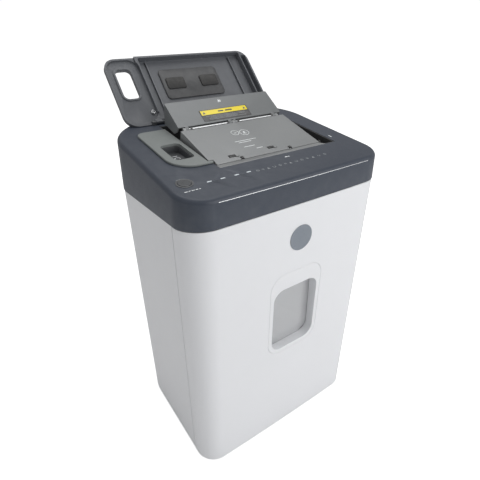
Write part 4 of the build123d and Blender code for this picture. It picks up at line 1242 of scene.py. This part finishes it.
@dataclass
class UpperFlap(Assembly):
    """The upper feed panel with its label."""

    body: str = "upper_flap_body"
    covers: tuple[Cover, ...] = (
        # The upper panel's silver is darkened as painted shade.
        Cover("upper_flap", Finish.SILVER_PAINTED_SHADE, "upper_flap_body", "silver_paint", 0.35),
        Cover("flap_label", Finish.BLACK_PRINT, "upper_flap_body", "label_yellow", 0.0),
    )
    label_top: float = 1.7
    skin_top: float = 1.3
    band: tuple[float, float, float, float] = (-47.2, 52.2, 23.8, 34.6)

    def trim(self) -> list[bpy.types.Object]:
        """The label's yellow band, its triangles and plain lines, and the feed mark."""
        left, right, low, high = self.band
        middle, centre = (left + right) / 2, (low + high) / 2
        band = rounded_slab((right - left) * MM, (high - low) * MM, 0.08 * MM, 0.8 * MM)
        triangles = joined(
            moved(triangle_mark(6.0, 0.06), ((left + 6.0 - middle) * MM, 0.0, 0.0)),
            moved(triangle_mark(6.0, 0.06), ((right - 6.0 - middle) * MM, 0.0, 0.0)),
            moved(bar_mark(12.0, 3.0, 0.06), (-8.0 * MM, 0.0, 0.0)),
            moved(bar_mark(16.0, 3.0, 0.06), (9.0 * MM, 0.0, 0.0)),
        )
        rows = [
            (shift, 20.4 - 2.6 * row, length)
            for row, (shift, length) in enumerate(((-2.0, 84.0), (3.0, 76.0), (-8.0, 62.0), (1.0, 80.0)))
        ]
        note = lines_mark(rows, 0.7)
        feed = joined(
            triangle_mark(5.0), moved(bar_mark(0.9, 5.0), (3.6 * MM, -1.0 * MM, 0.0)),
            moved(bar_mark(6.0, 0.9), (0.0, -4.0 * MM, 0.0)),
        )
        put = self.piece
        return [
            put("label_band", band, Finish.YELLOW, "label_yellow", UPPER_SEAT, middle, centre,
                self.label_top),
            put("label_triangles", triangles, Finish.BLACK_PRINT, "label_yellow", UPPER_SEAT, middle,
                centre, self.label_top + 0.08),
            put("label_lines", note, Finish.FAINT, "label_yellow", UPPER_SEAT, middle, 0.0,
                self.label_top),
            put("feed_mark", feed, Finish.PRINT, "silver_paint", UPPER_SEAT, 3.7, 56.0,
                self.skin_top),
        ]


@dataclass
class Mechanism(Assembly):
    """What the head hides: cutters, gears, motor, board and fixings."""

    def trim(self) -> list[bpy.types.Object]:
        """Finishes on the CAD nodes, which are shown as they are."""
        groups = {
            Finish.STEEL: (
                "flap_pivot_rod", "flap_hinge_pins", "lid_hinge_pins", "case_screws", "frame_rods",
                "idler_pin", "motor_shaft", "feed_shaft", "left_frame_plate", "right_frame_plate",
                "motor",
            ),
            Finish.CUTTER: ("front_cutter_shaft", "rear_cutter_shaft", "stripper_combs"),
            Finish.GEAR: (
                "front_cutter_gear", "rear_cutter_gear", "feed_driver_gear", "drive_gear",
            ),
            Finish.NYLON: ("feed_gear", "idler_gear", "pinion_gear"),
            Finish.BRONZE: ("shaft_bushes", "inlet_pins"),
            Finish.RUBBER: ("feed_rollers",),
            Finish.BOARD: ("control_board",),
            Finish.BASE: ("bin_switch",),
        }
        for finish, nodes in groups.items():
            paint(self.frame, finish, *nodes)
        return []


# ------------------------------------------------------------------ studio
@dataclass
class Studio:
    """The pale floor, the soft lights and the camera."""

    lens: float = 29.48
    position: tuple[float, float, float] = (-0.3954, -0.5702, 0.7818)
    yaw: float = 0.600
    pitch: float = 0.479
    roll: float = -0.007
    shift: float = -0.037
    surround: float = 0.39  # what the world lights with
    surround_lift: float = 0.63  # added where the camera sees it
    floor_lift: float = 0.75  # the floor's glow, for the camera only
    floor_half: float = 12.0
    aim: tuple[float, float, float] = (0.0, 0.0, 0.4)

    def build(self) -> None:
        """Floor, world, lights and camera."""
        self._floor()
        self._world()
        self._light("left_fill", (-2.2, -0.6, 1.6), 1.6, 1.6)
        self._light("front_key", (1.0, -2.1, 1.3), 2.0, 28.0)
        self._light("top", (0.2, 0.5, 2.6), 2.0, 19.0)
        self._camera()

    def _floor(self) -> None:
        """A plain pale floor."""
        bm = bmesh.new()
        bmesh.ops.create_grid(bm, x_segments=1, y_segments=1, size=self.floor_half)
        mesh = bpy.data.meshes.new("floor")
        bm.to_mesh(mesh)
        bm.free()
        floor = bpy.data.objects.new("floor", mesh)
        bpy.context.scene.collection.objects.link(floor)
        material, shader = principled("pale_floor")
        drift = effect(material.node_tree, Group.DRIFT, Amount=0.01, Scale=2.0)
        drift.inputs["Color"].default_value = (0.9, 0.9, 0.9, 1.0)
        material.node_tree.links.new(drift.outputs["Color"], shader.inputs["Base Color"])
        shader.inputs["Roughness"].default_value = 0.9
        shader.inputs["Emission Color"].default_value = (1.0, 1.0, 1.0, 1.0)
        tree = material.node_tree
        seen = tree.nodes.new("ShaderNodeLightPath").outputs["Is Camera Ray"]
        tree.links.new(math_node(tree, "MULTIPLY", seen, self.floor_lift), shader.inputs["Emission Strength"])
        mesh.materials.append(material)

    def _world(self) -> None:
        """An even white surround."""
        world = bpy.data.worlds.new("studio")
        world.use_nodes = True
        back = world.node_tree.nodes["Background"]
        back.inputs["Color"].default_value = (1.0, 1.0, 1.0, 1.0)
        back.inputs["Strength"].default_value = self.surround
        seen = world.node_tree.nodes.new("ShaderNodeLightPath").outputs["Is Camera Ray"]
        lifted = math_node(world.node_tree, "MULTIPLY_ADD", seen, self.surround_lift, self.surround)
        world.node_tree.links.new(lifted, back.inputs["Strength"])
        bpy.context.scene.world = world

    def _light(self, name: str, where: tuple[float, float, float], size: float, power: float) -> None:
        """A square soft box aimed at the middle of the shredder.

        Args:
            name: Its name.
            where: Its place.
            size: Its side in metres.
            power: Its power in watts.
        """
        lamp = bpy.data.lights.new(name, "AREA")
        lamp.size = size
        lamp.energy = power
        holder = bpy.data.objects.new(name, lamp)
        aim = Vector(self.aim) - Vector(where)
        holder.location = where
        holder.rotation_euler = aim.to_track_quat("-Z", "Y").to_euler()
        bpy.context.scene.collection.objects.link(holder)

    def _camera(self) -> None:
        """The three-quarter view from the front left, looking down."""
        eye = bpy.data.cameras.new("camera")
        eye.lens = self.lens
        eye.shift_y = self.shift
        eye.clip_start = 0.01
        holder = bpy.data.objects.new("camera", eye)
        turn = (
            Matrix.Rotation(-self.yaw, 4, "Z")
            @ Matrix.Rotation(math.pi / 2 - self.pitch, 4, "X")
            @ Matrix.Rotation(self.roll, 4, "Z")
        )
        holder.matrix_world = Matrix.Translation(self.position) @ turn
        bpy.context.scene.collection.objects.link(holder)
        bpy.context.scene.camera = holder
        bpy.context.scene.view_settings.view_transform = "Standard"


def main() -> None:
    """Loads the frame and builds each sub-assembly."""
    logging.basicConfig(level=logging.INFO, format="%(message)s")
    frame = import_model()
    for kind in (Cabinet, Bin, Head, PowerKey, Rocker, Lid, LowerFlap, UpperFlap, Mechanism):
        for shown in kind(frame).build():
            LOG.info("%s: %s, %d faces", kind.__name__, shown.name, len(shown.data.polygons))
    Studio().build()


if __name__ == "__main__":
    main()
